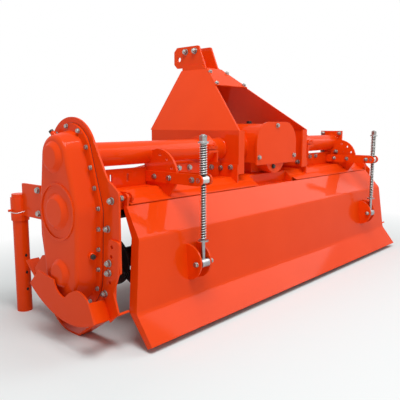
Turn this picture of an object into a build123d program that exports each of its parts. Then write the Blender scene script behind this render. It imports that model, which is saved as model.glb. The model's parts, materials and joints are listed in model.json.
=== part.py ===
from build123d import *

import math
import os

# Working frame while the pieces are built, in millimetres: X runs across the machine with the
# gear case on the negative side, Y points forward to the tractor, Z is up from the floor.
# The rotor axis is the line Y 0 at the height ROTOR_Z.

# Rotor and drive line
ROTOR_Z = 250.0
ROTOR_TIP_R = 205.0
ROTOR_TUBE_R = 38.0
ROTOR_FLANGE_R = 92.0
ROTOR_FLANGE_T = 8.0
ROTOR_FLANGES = 9
ROTOR_FIRST_X = 935.0
BLADES_PER_SIDE = 3
BLADE_T = 8.0
BLADE_REACH = 72.0
BLADE_STAGGER = 27.0
BLADE_HALF_ROOT = 21.0
BLADE_ROOT_R = 48.0
BLADE_TIP_W = 12.0
BLADE_TIP_LEAD = 58.0
BLADE_TIP_DROP = 14.0
BLADE_HEEL_LEAD = 35.0
BLADE_HEEL_DROP = 53.0
BLADE_KNEE_LEAD = 23.0
BLADE_KNEE_DROP = 102.0
BLADE_BACK_DROP = 29.0
BLADE_WAIST_BACK = 15.0
BLADE_WAIST_DROP = 82.0
STUB_R = 25.0
RUN_GAP = 0.5
ARC_STEPS = 8
END_GAP = 3.0
STUB_SHOULDER = 12.0

# Main tube over the hood
TUBE_Y = 18.0
TUBE_RISE = 397.0
TUBE_R = 44.45
TUBE_RIGHT_X = 780.0
END_FLANGE_HALF = 69.0
END_FLANGE_T = 12.0

# Side walls, with corners as (Y, height over the rotor axis) and the rounding of each corner
LEFT_X = 1088.0
RIGHT_X = 1050.0
WALL_T = 8.0
WALL_RIM_ANGLE = 152.0
WALL_FRONT_Y = 236.0
WALL_LOW_RISE = -152.0
LEFT_WALL_REAR = (
    (-170.0, 330.0, 60.0),
    (-227.0, 291.0, 22.0),
    (-227.0, 24.0, 6.0),
    (-200.0, 6.0, 6.0),
    (-195.0, -74.0, 0.0),
    (-118.0, -74.0, 10.0),
)
RIGHT_WALL_REAR = (
    (-70.0, 271.0, 12.0),
    (-121.0, 225.0, 12.0),
    (-121.0, -60.0, 20.0),
)
WALL_FRONT_LOW = ((-100.0, 0.0, 0.0), (146.0, 0.0, 40.0))
WALL_FRONT_NOSE = (216.0, -20.0, 60.0)
WALL_BELLY_RISE = 90.0
WALL_BELLY_R = 40.0
WALL_BROW_RISE = 262.0
WALL_BROW_R = 25.0
WALL_FRONT_TOP = (140.0, 330.0, 0.0)

# Gear case on the left wall
MID_BOSS_Y = 4.0
MID_BOSS_RISE = 213.0
CASE_R_TOP = 114.0
CASE_R_MID = 152.0
CASE_R_LOW = 136.0
CASE_RIM = 20.0
CASE_STEP = 26.0
CASE_FLANGE_T = 10.0
CASE_DEPTH = 67.0
CASE_TAPER = 14.0
CASE_EDGE_R = 16.0
BOSS_RISE = 15.0
BOSS_ROUND = 8.0
BOSS_R_TOP = 54.0
BOSS_R_MID = 62.0
BOSS_R_LOW = 50.0
RING_R = 95.0
RING_W = 9.0
RING_H = 4.0

# Hood and the upright web on it
HOOD_RISE = 271.0
HOOD_T = 5.0
HOOD_REAR_Y = -59.0
HOOD_SLOPE_Y = -103.0
HOOD_SLOPE_DROP = 33.0
HOOD_TAIL_DROP = 62.0
HOOD_FRONT_Y = 120.0
HOOD_APRON_Y = 228.0
HOOD_APRON_DROP = 110.0
HOOD_LIP_DROP = 170.0
HOOD_LIP_Y = 236.0
HOOD_BEND = 12.0
RECESS_LEFT_X = 177.0
RECESS_RIGHT_X = 144.0
WEB_Y = 7.0
WEB_T = 8.0
WEB_H = 70.0
WEB_END_X = 990.0
WEB_CHAMFER = 44.0
WEB_SLOTS_X = (850.0, 930.0)
WEB_SLOT_W = 10.0
WEB_SLOT_H = 30.0

# Trailing board: outer face corners as (Y, height over the rotor axis, half width)
BOARD_TOP = (-125.0, 223.0, 970.0)
BOARD_UPPER = (-210.0, 120.0, 990.0)
BOARD_LOWER = (-232.0, -130.0, 1025.0)
BOARD_LIP = (-307.0, -226.0, 1026.0)
BOARD_T = 5.0
BOARD_BEND = 30.0
BOARD_FLANGE = 38.0
BOARD_TONGUE = 21.0
BOARD_TONGUE_DROP = 12.0
HINGE_Y = -115.5
HINGE_RISE = 251.0
HINGE_R = 6.0
HINGE_EAR_R = 16.0
HINGE_EAR_T = 10.0
HINGE_EAR_ARC = (20.0, 200.0)
HINGE_LUG_ARC = (90.0, 250.0)
HINGE_LUG_GAP = 12.0
HINGE_LUG_T = 8.0
HINGE_HEAD = 12.0
HINGE_ROOT = 16.0

# Sprung rods of the board
ROD_X = 732.0
ROD_Y = -272.0
ROD_R = 7.5
EYE_RISE = -2.0
EYE_R = 18.0
EYE_SLACK = 3.5
CLEVIS_PIN_R = 7.0
CLEVIS_GAP = 44.0
CLEVIS_T = 8.0
CLEVIS_R = 67.0
SIDE_PLAY = 2.0
TRUNNION_RISE = 306.0
TRUNNION_R = 16.0
JOURNAL_R = 9.0
ARM_H = 42.0
ARM_T = 8.0
ARM_FRONT_Y = 6.0
ARM_END_ARC = (90.0, 270.0)
ARM_BOLTS_Y = (-19.0, -106.0)
SPACER_R = 11.0
FIN_T = 10.0
FIN_ARC_Y = -55.0
FIN_ARC_RISE = 308.0
FIN_ARC_R = 106.0
FIN_ARC = (90.0, 190.0)
FIN_TIP_Y = -113.0
FIN_TIP_DROP = 41.0
FIN_HOLE_R = 6.0
FIN_HOLE_RING = 84.0
FIN_HOLES = (100.0, 128.0, 156.0)
WASHER_R = 20.0
WASHER_T = 5.0
LOW_WASHER_RISE = 85.0
TOP_WASHER_RISE = 440.0
TOP_NUT_R = 13.0
TOP_NUT_H = 22.0
LOW_SPRING_R = 12.0
TOP_SPRING_R = 15.0
SPRING_WIRE = 4.0
SPRING_SIDE_COUNT = 12
LOW_COILS = 20
TOP_COILS = 13
SPRING_GAP = 1.5

# Bevel gearbox
BOX_HALF = 160.0
BOX_LOW_RISE = 326.0
BOX_TOP_RISE = 508.0
BOX_REAR_Y = -96.0
BOX_FRONT_Y = 150.0
BOX_CORNER = 100.0
BOX_CORNER_ARC = (0.0, 90.0)
BOX_BELLY_R = 82.0
BOX_PORT_R = 66.0
BOX_PORT_X = 200.0
COVER_T = 10.0
COVER_OVER = 9.0
PEDESTAL_HALF = 110.0
NOSE_R = 62.0
NOSE_LEN = 70.0
SPLINE_R = 17.45
SPLINE_ROOT_R = 14.6
SPLINES = 6
SHAFT_LEN = 120.0
SHAFT_SEAT = 30.0
SHAFT_NECK_R = 21.0

# Three point mast
MAST_X = 294.0
MAST_T = 8.0
MAST_REAR_Y = -96.0
MAST_FRONT_Y = 470.0
MAST_LOW_RISE = 284.0
MAST_CREASE_RISE = 478.0
MAST_NECK_RISE = 790.0
MAST_NECK_H = 25.0
MAST_TOP_X = 62.0
MAST_TOP_REAR_Y = 333.0
MAST_FLANGE = 42.0
MAST_CAP_T = 8.0
MAST_HATCH_DROP = 95.0
MAST_HATCH_T = 6.0
EAR_T = 10.0
EAR_REAR_Y = 361.0
EAR_FRONT_Y = 539.0
EAR_H = 110.0
EAR_LIFT = 15.0
EAR_CHAMFER = 22.0
TOP_LINK_BACK = 37.0
TOP_LINK_UP = 47.0
TOP_LINK_R = 12.85
FOOT_T = 8.0
FOOT_H = 56.0
FOOT_FRONT_Y = 290.0

# Split clamps of the main tube beside the mast
CLAMP_X = 385.0
CLAMP_W = 60.0
CLAMP_R = 58.0
CLAMP_LIP = 70.0
CLAMP_LIP_T = 10.0
CLAMP_SPLIT = 6.0
CLAMP_RIB_T = 8.0
CLAMP_RIB_RISE = 60.0
CLAMP_POST = 34.0

# Lower hitch
HITCH_X = 412.5
HITCH_Y = 506.0
HITCH_RISE = 242.0
HITCH_R = 14.45
HITCH_GAP = 52.0
HITCH_T = 12.0
HITCH_EYE_R = 36.0
HITCH_EYE_ARC = (-100.0, 80.0)
HITCH_REAR_Y = 210.0

# Parking stands
STAND_Y = 398.0
STAND_LEG_R = 30.15
STAND_SLEEVE_T = 4.5
STAND_FIT = 0.5
STAND_SLEEVE_RISE = 126.0
STAND_SLEEVE_H = 92.0
STAND_LEG_H = 482.0
STAND_PLATE_RISE = 147.0
STAND_PLATE_H = 130.0
STAND_PLATE_ROUND = 18.0
STAND_PIN_R = 5.0
STAND_PIN_OUT = 14.0
STAND_PIN_RISE = 42.0

# Depth skids, with side view corners as (Y, Z, rounding)
SKID_W = 54.0
SKID_T = 8.0
SKID_SOLE = (
    (-215.0, 130.0, 0.0),
    (-103.0, 72.0, 60.0),
    (4.0, 0.0, 12.0),
    (112.0, 0.0, 150.0),
    (350.0, 216.0, 0.0),
)
SKID_STRAP_T = 8.0
SKID_STRAP = (
    (-147.0, 200.0, 0.0),
    (-157.0, 278.0, 90.0),
    (-184.0, 386.0, 12.0),
    (-234.0, 380.0, 12.0),
    (-224.0, 268.0, 10.0),
    (-196.0, 200.0, 0.0),
)
SKID_HOLE_R = 6.5
SKID_HOLES = ((-197.0, 360.0), (-193.0, 327.0), (-182.0, 238.0))
SKID_LEFT_LEG = (
    (-137.0, 205.0, 0.0),
    (-152.0, 228.0, 14.0),
    (-192.0, 224.0, 14.0),
    (-221.0, 138.0, 0.0),
    (-176.0, 98.0, 0.0),
)
SKID_RIGHT_SHIFT = 78.0
SKID_RIGHT_LEG = (
    (-72.0, 226.0, 0.0),
    (-116.0, 226.0, 0.0),
    (-128.0, 88.0, 0.0),
    (-66.0, 51.0, 0.0),
)
SKID_FRONT = (
    (150.0, 180.0, 0.0),
    (200.0, 262.0, 12.0),
    (226.0, 262.0, 12.0),
    (286.0, 198.0, 0.0),
    (262.0, 144.0, 0.0),
    (196.0, 86.0, 0.0),
    (150.0, 110.0, 0.0),
)

# Guard under the gear case, with corners as (Y, height over the rotor axis)
GUARD_GAP = 25.0
GUARD_T = 5.0
GUARD_STUD = (42.0, -52.0)
GUARD_STUD_R = 9.0
GUARD_TIP = (160.0, -62.0)
GUARD_BELLY = ((54.0, -125.0), (-89.0, -154.0))
GUARD_TAIL_LOW = (-218.0, -121.0)
GUARD_TAIL_HIGH = (-190.0, -58.0)
GUARD_TAIL_LEAN = (38.0, -20.0)
GUARD_REAR_ARC = (-164.0, -36.0)
GUARD_PEAK = (-123.0, -30.0)
GUARD_THROAT_ARC = (-84.0, -47.0)
GUARD_THROAT = (-56.0, -69.0)
GUARD_NOTCH_ARC = (-14.0, -51.0)
GUARD_NOTCH = (3.0, -18.0)
GUARD_BROW = (101.0, -4.0)
BEARING_R = 62.0
BEARING_DEPTH = 36.0

TUBE_Z = ROTOR_Z + TUBE_RISE
HOOD_Z = ROTOR_Z + HOOD_RISE
HINGE_Z = ROTOR_Z + HINGE_RISE
EYE_Z = ROTOR_Z + EYE_RISE
TRUNNION_Z = ROTOR_Z + TRUNNION_RISE
CASE_FACE_X = LEFT_X + CASE_FLANGE_T + CASE_DEPTH
GUARD_X = CASE_FACE_X + GUARD_GAP
MAST_NECK_Z = ROTOR_Z + MAST_NECK_RISE
MAST_TOP_Z = MAST_NECK_Z + MAST_NECK_H
EAR_X = MAST_TOP_X - MAST_T
EAR_LOW_Z = MAST_NECK_Z + EAR_LIFT
TOP_LINK_Y = EAR_FRONT_Y - TOP_LINK_BACK
TOP_LINK_Z = EAR_LOW_Z + TOP_LINK_UP


def prism_x(points, x0, x1):
    """Plate with an outline in the side view, between two stations across the machine."""
    face = Plane.YZ * Polygon(*points, align=None)
    return Pos(x0, 0, 0) * extrude(face, amount=x1 - x0, dir=(1, 0, 0))


def plate_x(corners, x0, x1):
    """Plate with rounded corners in the side view, each given as Y, Z and its rounding."""
    outline = FilletPolyline(*[c[:2] for c in corners], radius=[c[2] for c in corners], close=True)
    return Pos(x0, 0, 0) * extrude(Plane.YZ * make_face(outline), amount=x1 - x0, dir=(1, 0, 0))


def raised(corners):
    """The same corners with their height counted from the floor."""
    return [(c[0], ROTOR_Z + c[1]) + tuple(c[2:]) for c in corners]


def thickened(corners, thickness):
    """Closed outline of a bent strip from the corners of its lower line, inner roundings smaller."""
    turned = []
    for a, b in zip(corners, corners[1:]):
        length = math.hypot(b[0] - a[0], b[1] - a[1])
        turned.append(((a[1] - b[1]) / length, (b[0] - a[0]) / length))
    before = turned[:1] + turned
    after = turned + turned[-1:]
    upper = []
    for c, n, m in zip(corners, before, after):
        share = thickness / (1 + n[0] * m[0] + n[1] * m[1])
        inner_r = max(c[2] - thickness, 0.0)
        upper.append((c[0] + share * (n[0] + m[0]), c[1] + share * (n[1] + m[1]), inner_r))
    return list(corners) + list(reversed(upper))


def prism_y(points, y0, y1):
    """Plate with an outline in the rear view, between two stations along the machine."""
    face = Plane.XZ * Polygon(*points, align=None)
    return Pos(0, y0, 0) * extrude(face, amount=y1 - y0, dir=(0, 1, 0))


def block(x0, x1, y0, y1, z0, z1):
    """Plain box between six stations."""
    return Pos((x0 + x1) / 2, (y0 + y1) / 2, (z0 + z1) / 2) * Box(x1 - x0, y1 - y0, z1 - z0)


def bar_x(y, z, radius, x0, x1):
    """Round bar across the machine."""
    return Pos((x0 + x1) / 2, y, z) * Rot(0, 90, 0) * Cylinder(radius, abs(x1 - x0))


def bar_y(x, z, radius, y0, y1):
    """Round bar along the machine."""
    return Pos(x, (y0 + y1) / 2, z) * Rot(90, 0, 0) * Cylinder(radius, abs(y1 - y0))


def bar_z(x, y, radius, z0, z1):
    """Upright round bar."""
    return Pos(x, y, (z0 + z1) / 2) * Cylinder(radius, abs(z1 - z0))


def arc_points(y, z, radius, start, end):
    """Points on an arc in a flat view, angles in degrees from the first direction of that view."""
    turns = [math.radians(start + (end - start) * i / ARC_STEPS) for i in range(ARC_STEPS + 1)]
    return [(y + radius * math.cos(a), z + radius * math.sin(a)) for a in turns]


def case_face(inset):
    """Long rounded outline round the three shafts of the gear case."""
    rings = [
        Pos(TUBE_Y, TUBE_Z) * Circle(CASE_R_TOP - inset),
        Pos(MID_BOSS_Y, ROTOR_Z + MID_BOSS_RISE) * Circle(CASE_R_MID - inset),
        Pos(0, ROTOR_Z) * Circle(CASE_R_LOW - inset),
    ]
    return make_hull([edge for ring in rings for edge in ring.edges()])


def other_side(shape):
    """The mirrored piece on the other side of the middle plane."""
    return mirror(shape, about=Plane.YZ)


def wall_front():
    """Corners of the front half of a side wall, from the floor edge up."""
    low = [(c[0], WALL_LOW_RISE + c[1], c[2]) for c in WALL_FRONT_LOW]
    belly = (WALL_FRONT_Y, WALL_BELLY_RISE, WALL_BELLY_R)
    brow = (WALL_FRONT_Y, WALL_BROW_RISE, WALL_BROW_R)
    return low + [WALL_FRONT_NOSE, belly, brow, WALL_FRONT_TOP]


def make_left_wall():
    """Left side wall that carries the gear case, with its notched rear edge."""
    inner = WALL_T - LEFT_X
    rim = extrude(Plane.YZ * case_face(-CASE_RIM), amount=WALL_T, dir=(1, 0, 0))
    start = arc_points(TUBE_Y, TUBE_RISE, CASE_R_TOP + CASE_RIM, WALL_RIM_ANGLE, WALL_RIM_ANGLE)[0]
    corners = [start + (0.0,)] + list(LEFT_WALL_REAR) + wall_front()
    wall = Pos(-LEFT_X, 0, 0) * rim + plate_x(raised(corners), -LEFT_X, inner)
    return wall - bar_x(0, ROTOR_Z, STUB_R + RUN_GAP, -LEFT_X, inner)


def make_right_wall():
    """Right side wall, no higher than the hood, with the hole for the rotor end."""
    inner = RIGHT_X - WALL_T
    front = wall_front()[:-1] + [(HOOD_FRONT_Y, HOOD_RISE, 0.0)]
    wall = plate_x(raised(list(RIGHT_WALL_REAR) + front), inner, RIGHT_X)
    return wall - bar_x(0, ROTOR_Z, STUB_R + RUN_GAP, inner, RIGHT_X)


def boss(y, z, radius):
    """Domed shaft boss on the face of the gear case, pointing left."""
    face_x = -CASE_FACE_X
    dome = Cone(radius, radius - BOSS_RISE, BOSS_RISE)
    dome = fillet(dome.edges().sort_by(Axis.Z)[-1], BOSS_ROUND)
    return Pos(face_x - BOSS_RISE / 2, y, z) * Rot(0, -90, 0) * dome


def make_gear_case():
    """Side gear case: bolting flange, deep rounded cover and three domed bosses."""
    flange = extrude(Plane.YZ * case_face(0), amount=CASE_FLANGE_T, dir=(-1, 0, 0))
    case = Pos(-LEFT_X, 0, 0) * flange
    lean = CASE_DEPTH * math.tan(math.radians(CASE_TAPER))
    foot = Plane.YZ * case_face(CASE_STEP)
    face = Pos(-CASE_DEPTH, 0, 0) * (Plane.YZ * case_face(CASE_STEP + lean))
    cover = loft([foot, face], ruled=True)
    cover = fillet(cover.edges().group_by(Axis.X)[0], CASE_EDGE_R)
    case += Pos(-LEFT_X - CASE_FLANGE_T, 0, 0) * cover
    mid_z = ROTOR_Z + MID_BOSS_RISE
    face_x = -CASE_FACE_X
    ring = bar_x(MID_BOSS_Y, mid_z, RING_R + RING_W / 2, face_x - RING_H, face_x)
    ring -= bar_x(MID_BOSS_Y, mid_z, RING_R - RING_W / 2, face_x - RING_H, face_x)
    case += ring
    case += boss(TUBE_Y, TUBE_Z, BOSS_R_TOP)
    case += boss(MID_BOSS_Y, mid_z, BOSS_R_MID)
    case += boss(0, ROTOR_Z, BOSS_R_LOW)
    return case


def make_left_tube():
    """Main tube between the gear case wall and the gearbox, with the arm fin and end saddle."""
    return bar_x(TUBE_Y, TUBE_Z, TUBE_R, WALL_T - LEFT_X, -BOX_PORT_X) + make_fin()


def make_right_tube():
    """Main tube to the right with its square bolted end flange."""
    tube = bar_x(TUBE_Y, TUBE_Z, TUBE_R, BOX_PORT_X, TUBE_RIGHT_X) + other_side(make_fin())
    half = END_FLANGE_HALF
    tube += block(
        TUBE_RIGHT_X, TUBE_RIGHT_X + END_FLANGE_T, TUBE_Y - half, TUBE_Y + half, TUBE_Z - half, TUBE_Z + half
    )
    return tube


def arm_outer_x():
    """Outer face of the outer arm plate."""
    return ROD_X + CLEVIS_GAP / 2 + ARM_T


def make_fin():
    """Quarter round fin from the left tube down to the hood, beside the outer arm plate."""
    x1 = -(ROD_X + CLEVIS_GAP / 2)
    arc_z = ROTOR_Z + FIN_ARC_RISE
    tip_z = HOOD_Z - FIN_TIP_DROP
    outline = [(TUBE_Y, TUBE_Z)] + arc_points(FIN_ARC_Y, arc_z, FIN_ARC_R, *FIN_ARC)
    outline += [
        (FIN_TIP_Y, tip_z),
        (HOOD_SLOPE_Y, tip_z),
        (HOOD_SLOPE_Y, HOOD_Z - HOOD_SLOPE_DROP),
        (HOOD_REAR_Y, HOOD_Z),
        (WEB_Y, HOOD_Z),
        (WEB_Y, HOOD_Z + WEB_H),
        (TUBE_Y, HOOD_Z + WEB_H),
    ]
    fin = prism_x(outline, x1, x1 + FIN_T)
    for angle in FIN_HOLES:
        y, z = arc_points(FIN_ARC_Y, arc_z, FIN_HOLE_RING, angle, angle)[0]
        fin -= bar_x(y, z, FIN_HOLE_R, x1, x1 + FIN_T)
    return fin


def make_hood():
    """Bent sheet over the rotor: rear slope, flat top, front apron and lip."""
    outer = [
        (HOOD_LIP_Y, HOOD_Z - HOOD_LIP_DROP, 0.0),
        (HOOD_APRON_Y, HOOD_Z - HOOD_APRON_DROP, HOOD_BEND),
        (HOOD_FRONT_Y, HOOD_Z, HOOD_BEND),
        (HOOD_REAR_Y, HOOD_Z, HOOD_BEND),
        (HOOD_SLOPE_Y, HOOD_Z - HOOD_SLOPE_DROP, HOOD_BEND),
        (HOOD_SLOPE_Y, HOOD_Z - HOOD_TAIL_DROP, 0.0),
    ]
    hood = plate_x(thickened(outer, HOOD_T), WALL_T - LEFT_X, RIGHT_X - WALL_T)
    return hood + recess_block() - recess_space() + hinge_lug(-1) + hinge_lug(1)


def recess_block():
    """Wedge below the rear slope that the recess behind the gearbox is cut from."""
    points = [
        (HOOD_REAR_Y, HOOD_Z),
        (HOOD_REAR_Y, HOOD_Z - HOOD_TAIL_DROP),
        (HOOD_SLOPE_Y, HOOD_Z - HOOD_TAIL_DROP),
        (HOOD_SLOPE_Y, HOOD_Z - HOOD_SLOPE_DROP),
    ]
    return prism_x(points, -RECESS_LEFT_X, RECESS_RIGHT_X)


def recess_space():
    """Space of the recess, which leaves a front wall and two cheeks of sheet thickness."""
    left = HOOD_T - RECESS_LEFT_X
    right = RECESS_RIGHT_X - HOOD_T
    return block(left, right, HOOD_SLOPE_Y, HOOD_REAR_Y - HOOD_T, HOOD_Z - HOOD_TAIL_DROP, HOOD_Z)


def hinge_lug(side):
    """Lug behind the rear slope of the hood that holds one hinge pin of the board."""
    ear_in = BOARD_TOP[2] - HINGE_EAR_T
    lug_out = ear_in - HINGE_LUG_GAP
    points = arc_points(HINGE_Y, HINGE_Z, HINGE_EAR_R, *HINGE_LUG_ARC) + [
        (HOOD_SLOPE_Y + HOOD_T, HOOD_Z - HOOD_SLOPE_DROP - HOOD_T / 2),
        (HOOD_REAR_Y, HOOD_Z - HOOD_T / 2),
    ]
    lug = prism_x(points, lug_out - HINGE_LUG_T, lug_out)
    lug += bar_x(HINGE_Y, HINGE_Z, HINGE_R, lug_out - HINGE_LUG_T / 2, BOARD_TOP[2] + HINGE_HEAD)
    return lug if side > 0 else other_side(lug)


def make_web(side):
    """Upright plate on the hood below the main tube, with a cut corner and two slots at its end."""
    inner = MAST_X + FOOT_T
    top = HOOD_Z + WEB_H
    points = [
        (inner, HOOD_Z),
        (WEB_END_X, HOOD_Z),
        (WEB_END_X, top - WEB_CHAMFER / 2),
        (WEB_END_X - WEB_CHAMFER, top),
        (inner, top),
    ]
    web = prism_y(points, WEB_Y, WEB_Y + WEB_T)
    middle = HOOD_Z + WEB_H / 2
    for x in WEB_SLOTS_X:
        web -= block(
            x - WEB_SLOT_W / 2,
            x + WEB_SLOT_W / 2,
            WEB_Y,
            WEB_Y + WEB_T,
            middle - WEB_SLOT_H / 2,
            middle + WEB_SLOT_H / 2,
        )
    if side < 0:
        return other_side(web)
    low = TUBE_Z - END_FLANGE_HALF
    end = TUBE_RIGHT_X + END_FLANGE_T
    return web - block(TUBE_RIGHT_X, end, WEB_Y, WEB_Y + WEB_T, low, top)


def board_yz():
    """Corners of the outer face of the board in the side view, from the top down."""
    return [(c[0], ROTOR_Z + c[1]) for c in (BOARD_TOP, BOARD_UPPER, BOARD_LOWER, BOARD_LIP)]


def shifted(points, dy, dz):
    """The same corners moved in the side view."""
    return [(p[0] + dy, p[1] + dz) for p in points]


def board_rear_view(inset):
    """Outline of the board in the rear view, narrower at the top."""
    right = [(c[2] - inset, ROTOR_Z + c[1]) for c in (BOARD_TOP, BOARD_UPPER, BOARD_LOWER, BOARD_LIP)]
    right.append((right[-1][0], right[-1][1] - BOARD_FLANGE))
    left = [(-p[0], p[1]) for p in reversed(right)]
    return prism_y(right + left, BOARD_LIP[0], 0)


def make_board():
    """Trailing board: one bent sheet with end flanges turned forward and two hinge ears."""
    corners = board_yz()
    top, upper, lower, lip = corners
    bent = [top + (0.0,), upper + (BOARD_BEND,), lower + (BOARD_BEND,), lip + (0.0,)]
    sheet = plate_x(thickened(bent, BOARD_T), -BOARD_LIP[2], BOARD_LIP[2])
    front = shifted(corners, BOARD_FLANGE, 0)
    front[0] = (top[0] + BOARD_FLANGE / 2, top[1] - BOARD_T / 2)
    front[-1] = (lip[0] + BOARD_TONGUE, lip[1] - BOARD_TONGUE_DROP)
    tips = [p + (0.0,) for p in reversed(front)]
    sides = plate_x(bent + tips, -BOARD_LIP[2], BOARD_LIP[2])
    board = (sheet & board_rear_view(0)) + (sides & (board_rear_view(0) - board_rear_view(BOARD_T)))
    out_x = BOARD_TOP[2]
    ear = arc_points(HINGE_Y, HINGE_Z, HINGE_EAR_R, *HINGE_EAR_ARC) + [
        (top[0], top[1] - HINGE_ROOT / 2),
        (top[0] + BOARD_FLANGE / 4, top[1] - HINGE_ROOT),
    ]
    ear_plate = prism_x(ear, out_x - HINGE_EAR_T, out_x)
    ear_plate -= bar_x(HINGE_Y, HINGE_Z, HINGE_R + RUN_GAP, out_x - HINGE_EAR_T, out_x)
    return board + ear_plate + other_side(ear_plate)


def make_clevis():
    """Pair of half round ears on the board with their cross pin, left side."""
    out = 2 * CLEVIS_R
    face = board_yz()[1:-1]
    upper, lower = face
    keep = prism_x(face + shifted([lower, upper], -out, 0), -ROD_X - out, out - ROD_X)
    share = (EYE_Z - lower[1]) / (upper[1] - lower[1])
    face_y = lower[0] + share * (upper[0] - lower[0])
    half = CLEVIS_GAP / 2
    ears = bar_x(face_y, EYE_Z, CLEVIS_R, -ROD_X - half - CLEVIS_T, -ROD_X - half)
    ears += bar_x(face_y, EYE_Z, CLEVIS_R, half - ROD_X, half + CLEVIS_T - ROD_X)
    reach = half + 2 * CLEVIS_T
    return (ears & keep) + bar_x(ROD_Y, EYE_Z, CLEVIS_PIN_R, -ROD_X - reach, reach - ROD_X)


def make_arm():
    """Two arm plates behind the left fin with their spacers and trunnion bores."""
    outer = -arm_outer_x()
    low = TRUNNION_Z - ARM_H / 2
    high = TRUNNION_Z + ARM_H / 2
    points = [(ARM_FRONT_Y, low), (ARM_FRONT_Y, high)]
    points += arc_points(ROD_Y, TRUNNION_Z, ARM_H / 2, *ARM_END_ARC)
    inner = outer + ARM_T + CLEVIS_GAP
    plates = prism_x(points, outer, outer + ARM_T)
    plates += prism_x(points, inner, inner + ARM_T)
    for y in ARM_BOLTS_Y:
        plates += bar_x(y, TRUNNION_Z, SPACER_R, outer + ARM_T + FIN_T, inner)
    return plates - bar_x(ROD_Y, TRUNNION_Z, JOURNAL_R + RUN_GAP, outer, inner + ARM_T)


def make_trunnion():
    """Cross barrel in the arm that the left rod slides through."""
    half = CLEVIS_GAP / 2 - SIDE_PLAY
    reach = CLEVIS_GAP / 2 + ARM_T
    barrel = bar_x(ROD_Y, TRUNNION_Z, TRUNNION_R, -ROD_X - half, half - ROD_X)
    barrel += bar_x(ROD_Y, TRUNNION_Z, JOURNAL_R, -ROD_X - reach, reach - ROD_X)
    return barrel - bar_z(-ROD_X, ROD_Y, ROD_R + RUN_GAP, TRUNNION_Z - TRUNNION_R, TRUNNION_Z + TRUNNION_R)


def make_rod():
    """Left rod with its eye, spring washer, top washer and nut."""
    half = CLEVIS_GAP / 2 - SIDE_PLAY
    low = ROTOR_Z + LOW_WASHER_RISE
    top = ROTOR_Z + TOP_WASHER_RISE
    rod = bar_z(-ROD_X, ROD_Y, ROD_R, EYE_Z, top + WASHER_T + TOP_NUT_H)
    rod += bar_x(ROD_Y, EYE_Z, EYE_R, -ROD_X - half, half - ROD_X)
    rod -= bar_x(ROD_Y, EYE_Z, CLEVIS_PIN_R + EYE_SLACK, -ROD_X - half, half - ROD_X)
    rod += bar_z(-ROD_X, ROD_Y, WASHER_R, low - WASHER_T, low)
    rod += bar_z(-ROD_X, ROD_Y, WASHER_R, top, top + WASHER_T)
    rod += bar_z(-ROD_X, ROD_Y, TOP_NUT_R, top + WASHER_T, top + WASHER_T + TOP_NUT_H)
    return rod


def make_spring(radius, coils, low, high):
    """Coil spring round the left rod, its coils as ridges with a few flats each."""
    pitch = (high - low) / coils
    rings = []
    for i in range(coils):
        rings.append((radius - SPRING_WIRE / 2, low + i * pitch))
        rings.append((radius, low + i * pitch + pitch / 2))
    rings.append((radius - SPRING_WIRE / 2, high))
    ridges = loft([Pos(0, 0, z) * RegularPolygon(r, SPRING_SIDE_COUNT) for r, z in rings], ruled=True)
    bore = bar_z(0, 0, radius - SPRING_WIRE, low, high)
    return Pos(-ROD_X, ROD_Y, 0) * (ridges - bore)


def make_low_spring():
    """Long lower spring between the rod washer and the trunnion."""
    low = ROTOR_Z + LOW_WASHER_RISE
    return make_spring(LOW_SPRING_R, LOW_COILS, low, TRUNNION_Z - TRUNNION_R - SPRING_GAP)


def make_top_spring():
    """Short upper spring that stands on the trunnion."""
    return make_spring(
        TOP_SPRING_R, TOP_COILS, TRUNNION_Z + TRUNNION_R, ROTOR_Z + TOP_WASHER_RISE - SPRING_GAP
    )


def blade(angle, hand):
    """One bent blade: curved shank on the flange and a tip turned across the machine."""
    tip = ROTOR_TIP_R
    end = tip - BLADE_TIP_DROP
    edge = [
        (0, tip - BLADE_BACK_DROP - BLADE_TIP_W),
        (BLADE_TIP_LEAD, end - BLADE_TIP_W / 2),
        (BLADE_TIP_LEAD - BLADE_TIP_W / 2, math.sqrt(tip**2 - BLADE_TIP_LEAD**2)),
        (0, tip - BLADE_BACK_DROP),
    ]
    shank = [
        (-BLADE_HALF_ROOT, BLADE_ROOT_R),
        (BLADE_HALF_ROOT, BLADE_ROOT_R),
        (BLADE_KNEE_LEAD, tip - BLADE_KNEE_DROP),
        (BLADE_HEEL_LEAD, tip - BLADE_HEEL_DROP),
        edge[1],
        edge[2],
        edge[3],
        (-BLADE_WAIST_BACK, tip - BLADE_WAIST_DROP),
    ]
    x0 = 0 if hand > 0 else -BLADE_T
    body = prism_x(shank, x0, x0 + BLADE_T)
    reach = BLADE_REACH * hand
    body += prism_x(edge, min(reach, x0), max(reach, x0 + BLADE_T))
    return Rot(angle, 0, 0) * body


def flange_stations():
    """Middle planes of the rotor flanges across the machine."""
    step = 2 * ROTOR_FIRST_X / (ROTOR_FLANGES - 1)
    return [i * step - ROTOR_FIRST_X for i in range(ROTOR_FLANGES)]


def make_rotor():
    """Rotor tube with its flanges, blades and both stub ends."""
    left = WALL_T - LEFT_X
    right = RIGHT_X - WALL_T
    shaft = bar_x(0, ROTOR_Z, ROTOR_TUBE_R, left + STUB_SHOULDER, right - STUB_SHOULDER)
    shaft += bar_x(0, ROTOR_Z, STUB_R, END_GAP - LEFT_X, RIGHT_X + BEARING_DEPTH / 2)
    flanges = [
        bar_x(0, ROTOR_Z, ROTOR_FLANGE_R, x - ROTOR_FLANGE_T / 2, x + ROTOR_FLANGE_T / 2)
        for x in flange_stations()
    ]
    return shaft + flanges + make_blades(1) + make_blades(-1)


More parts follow.
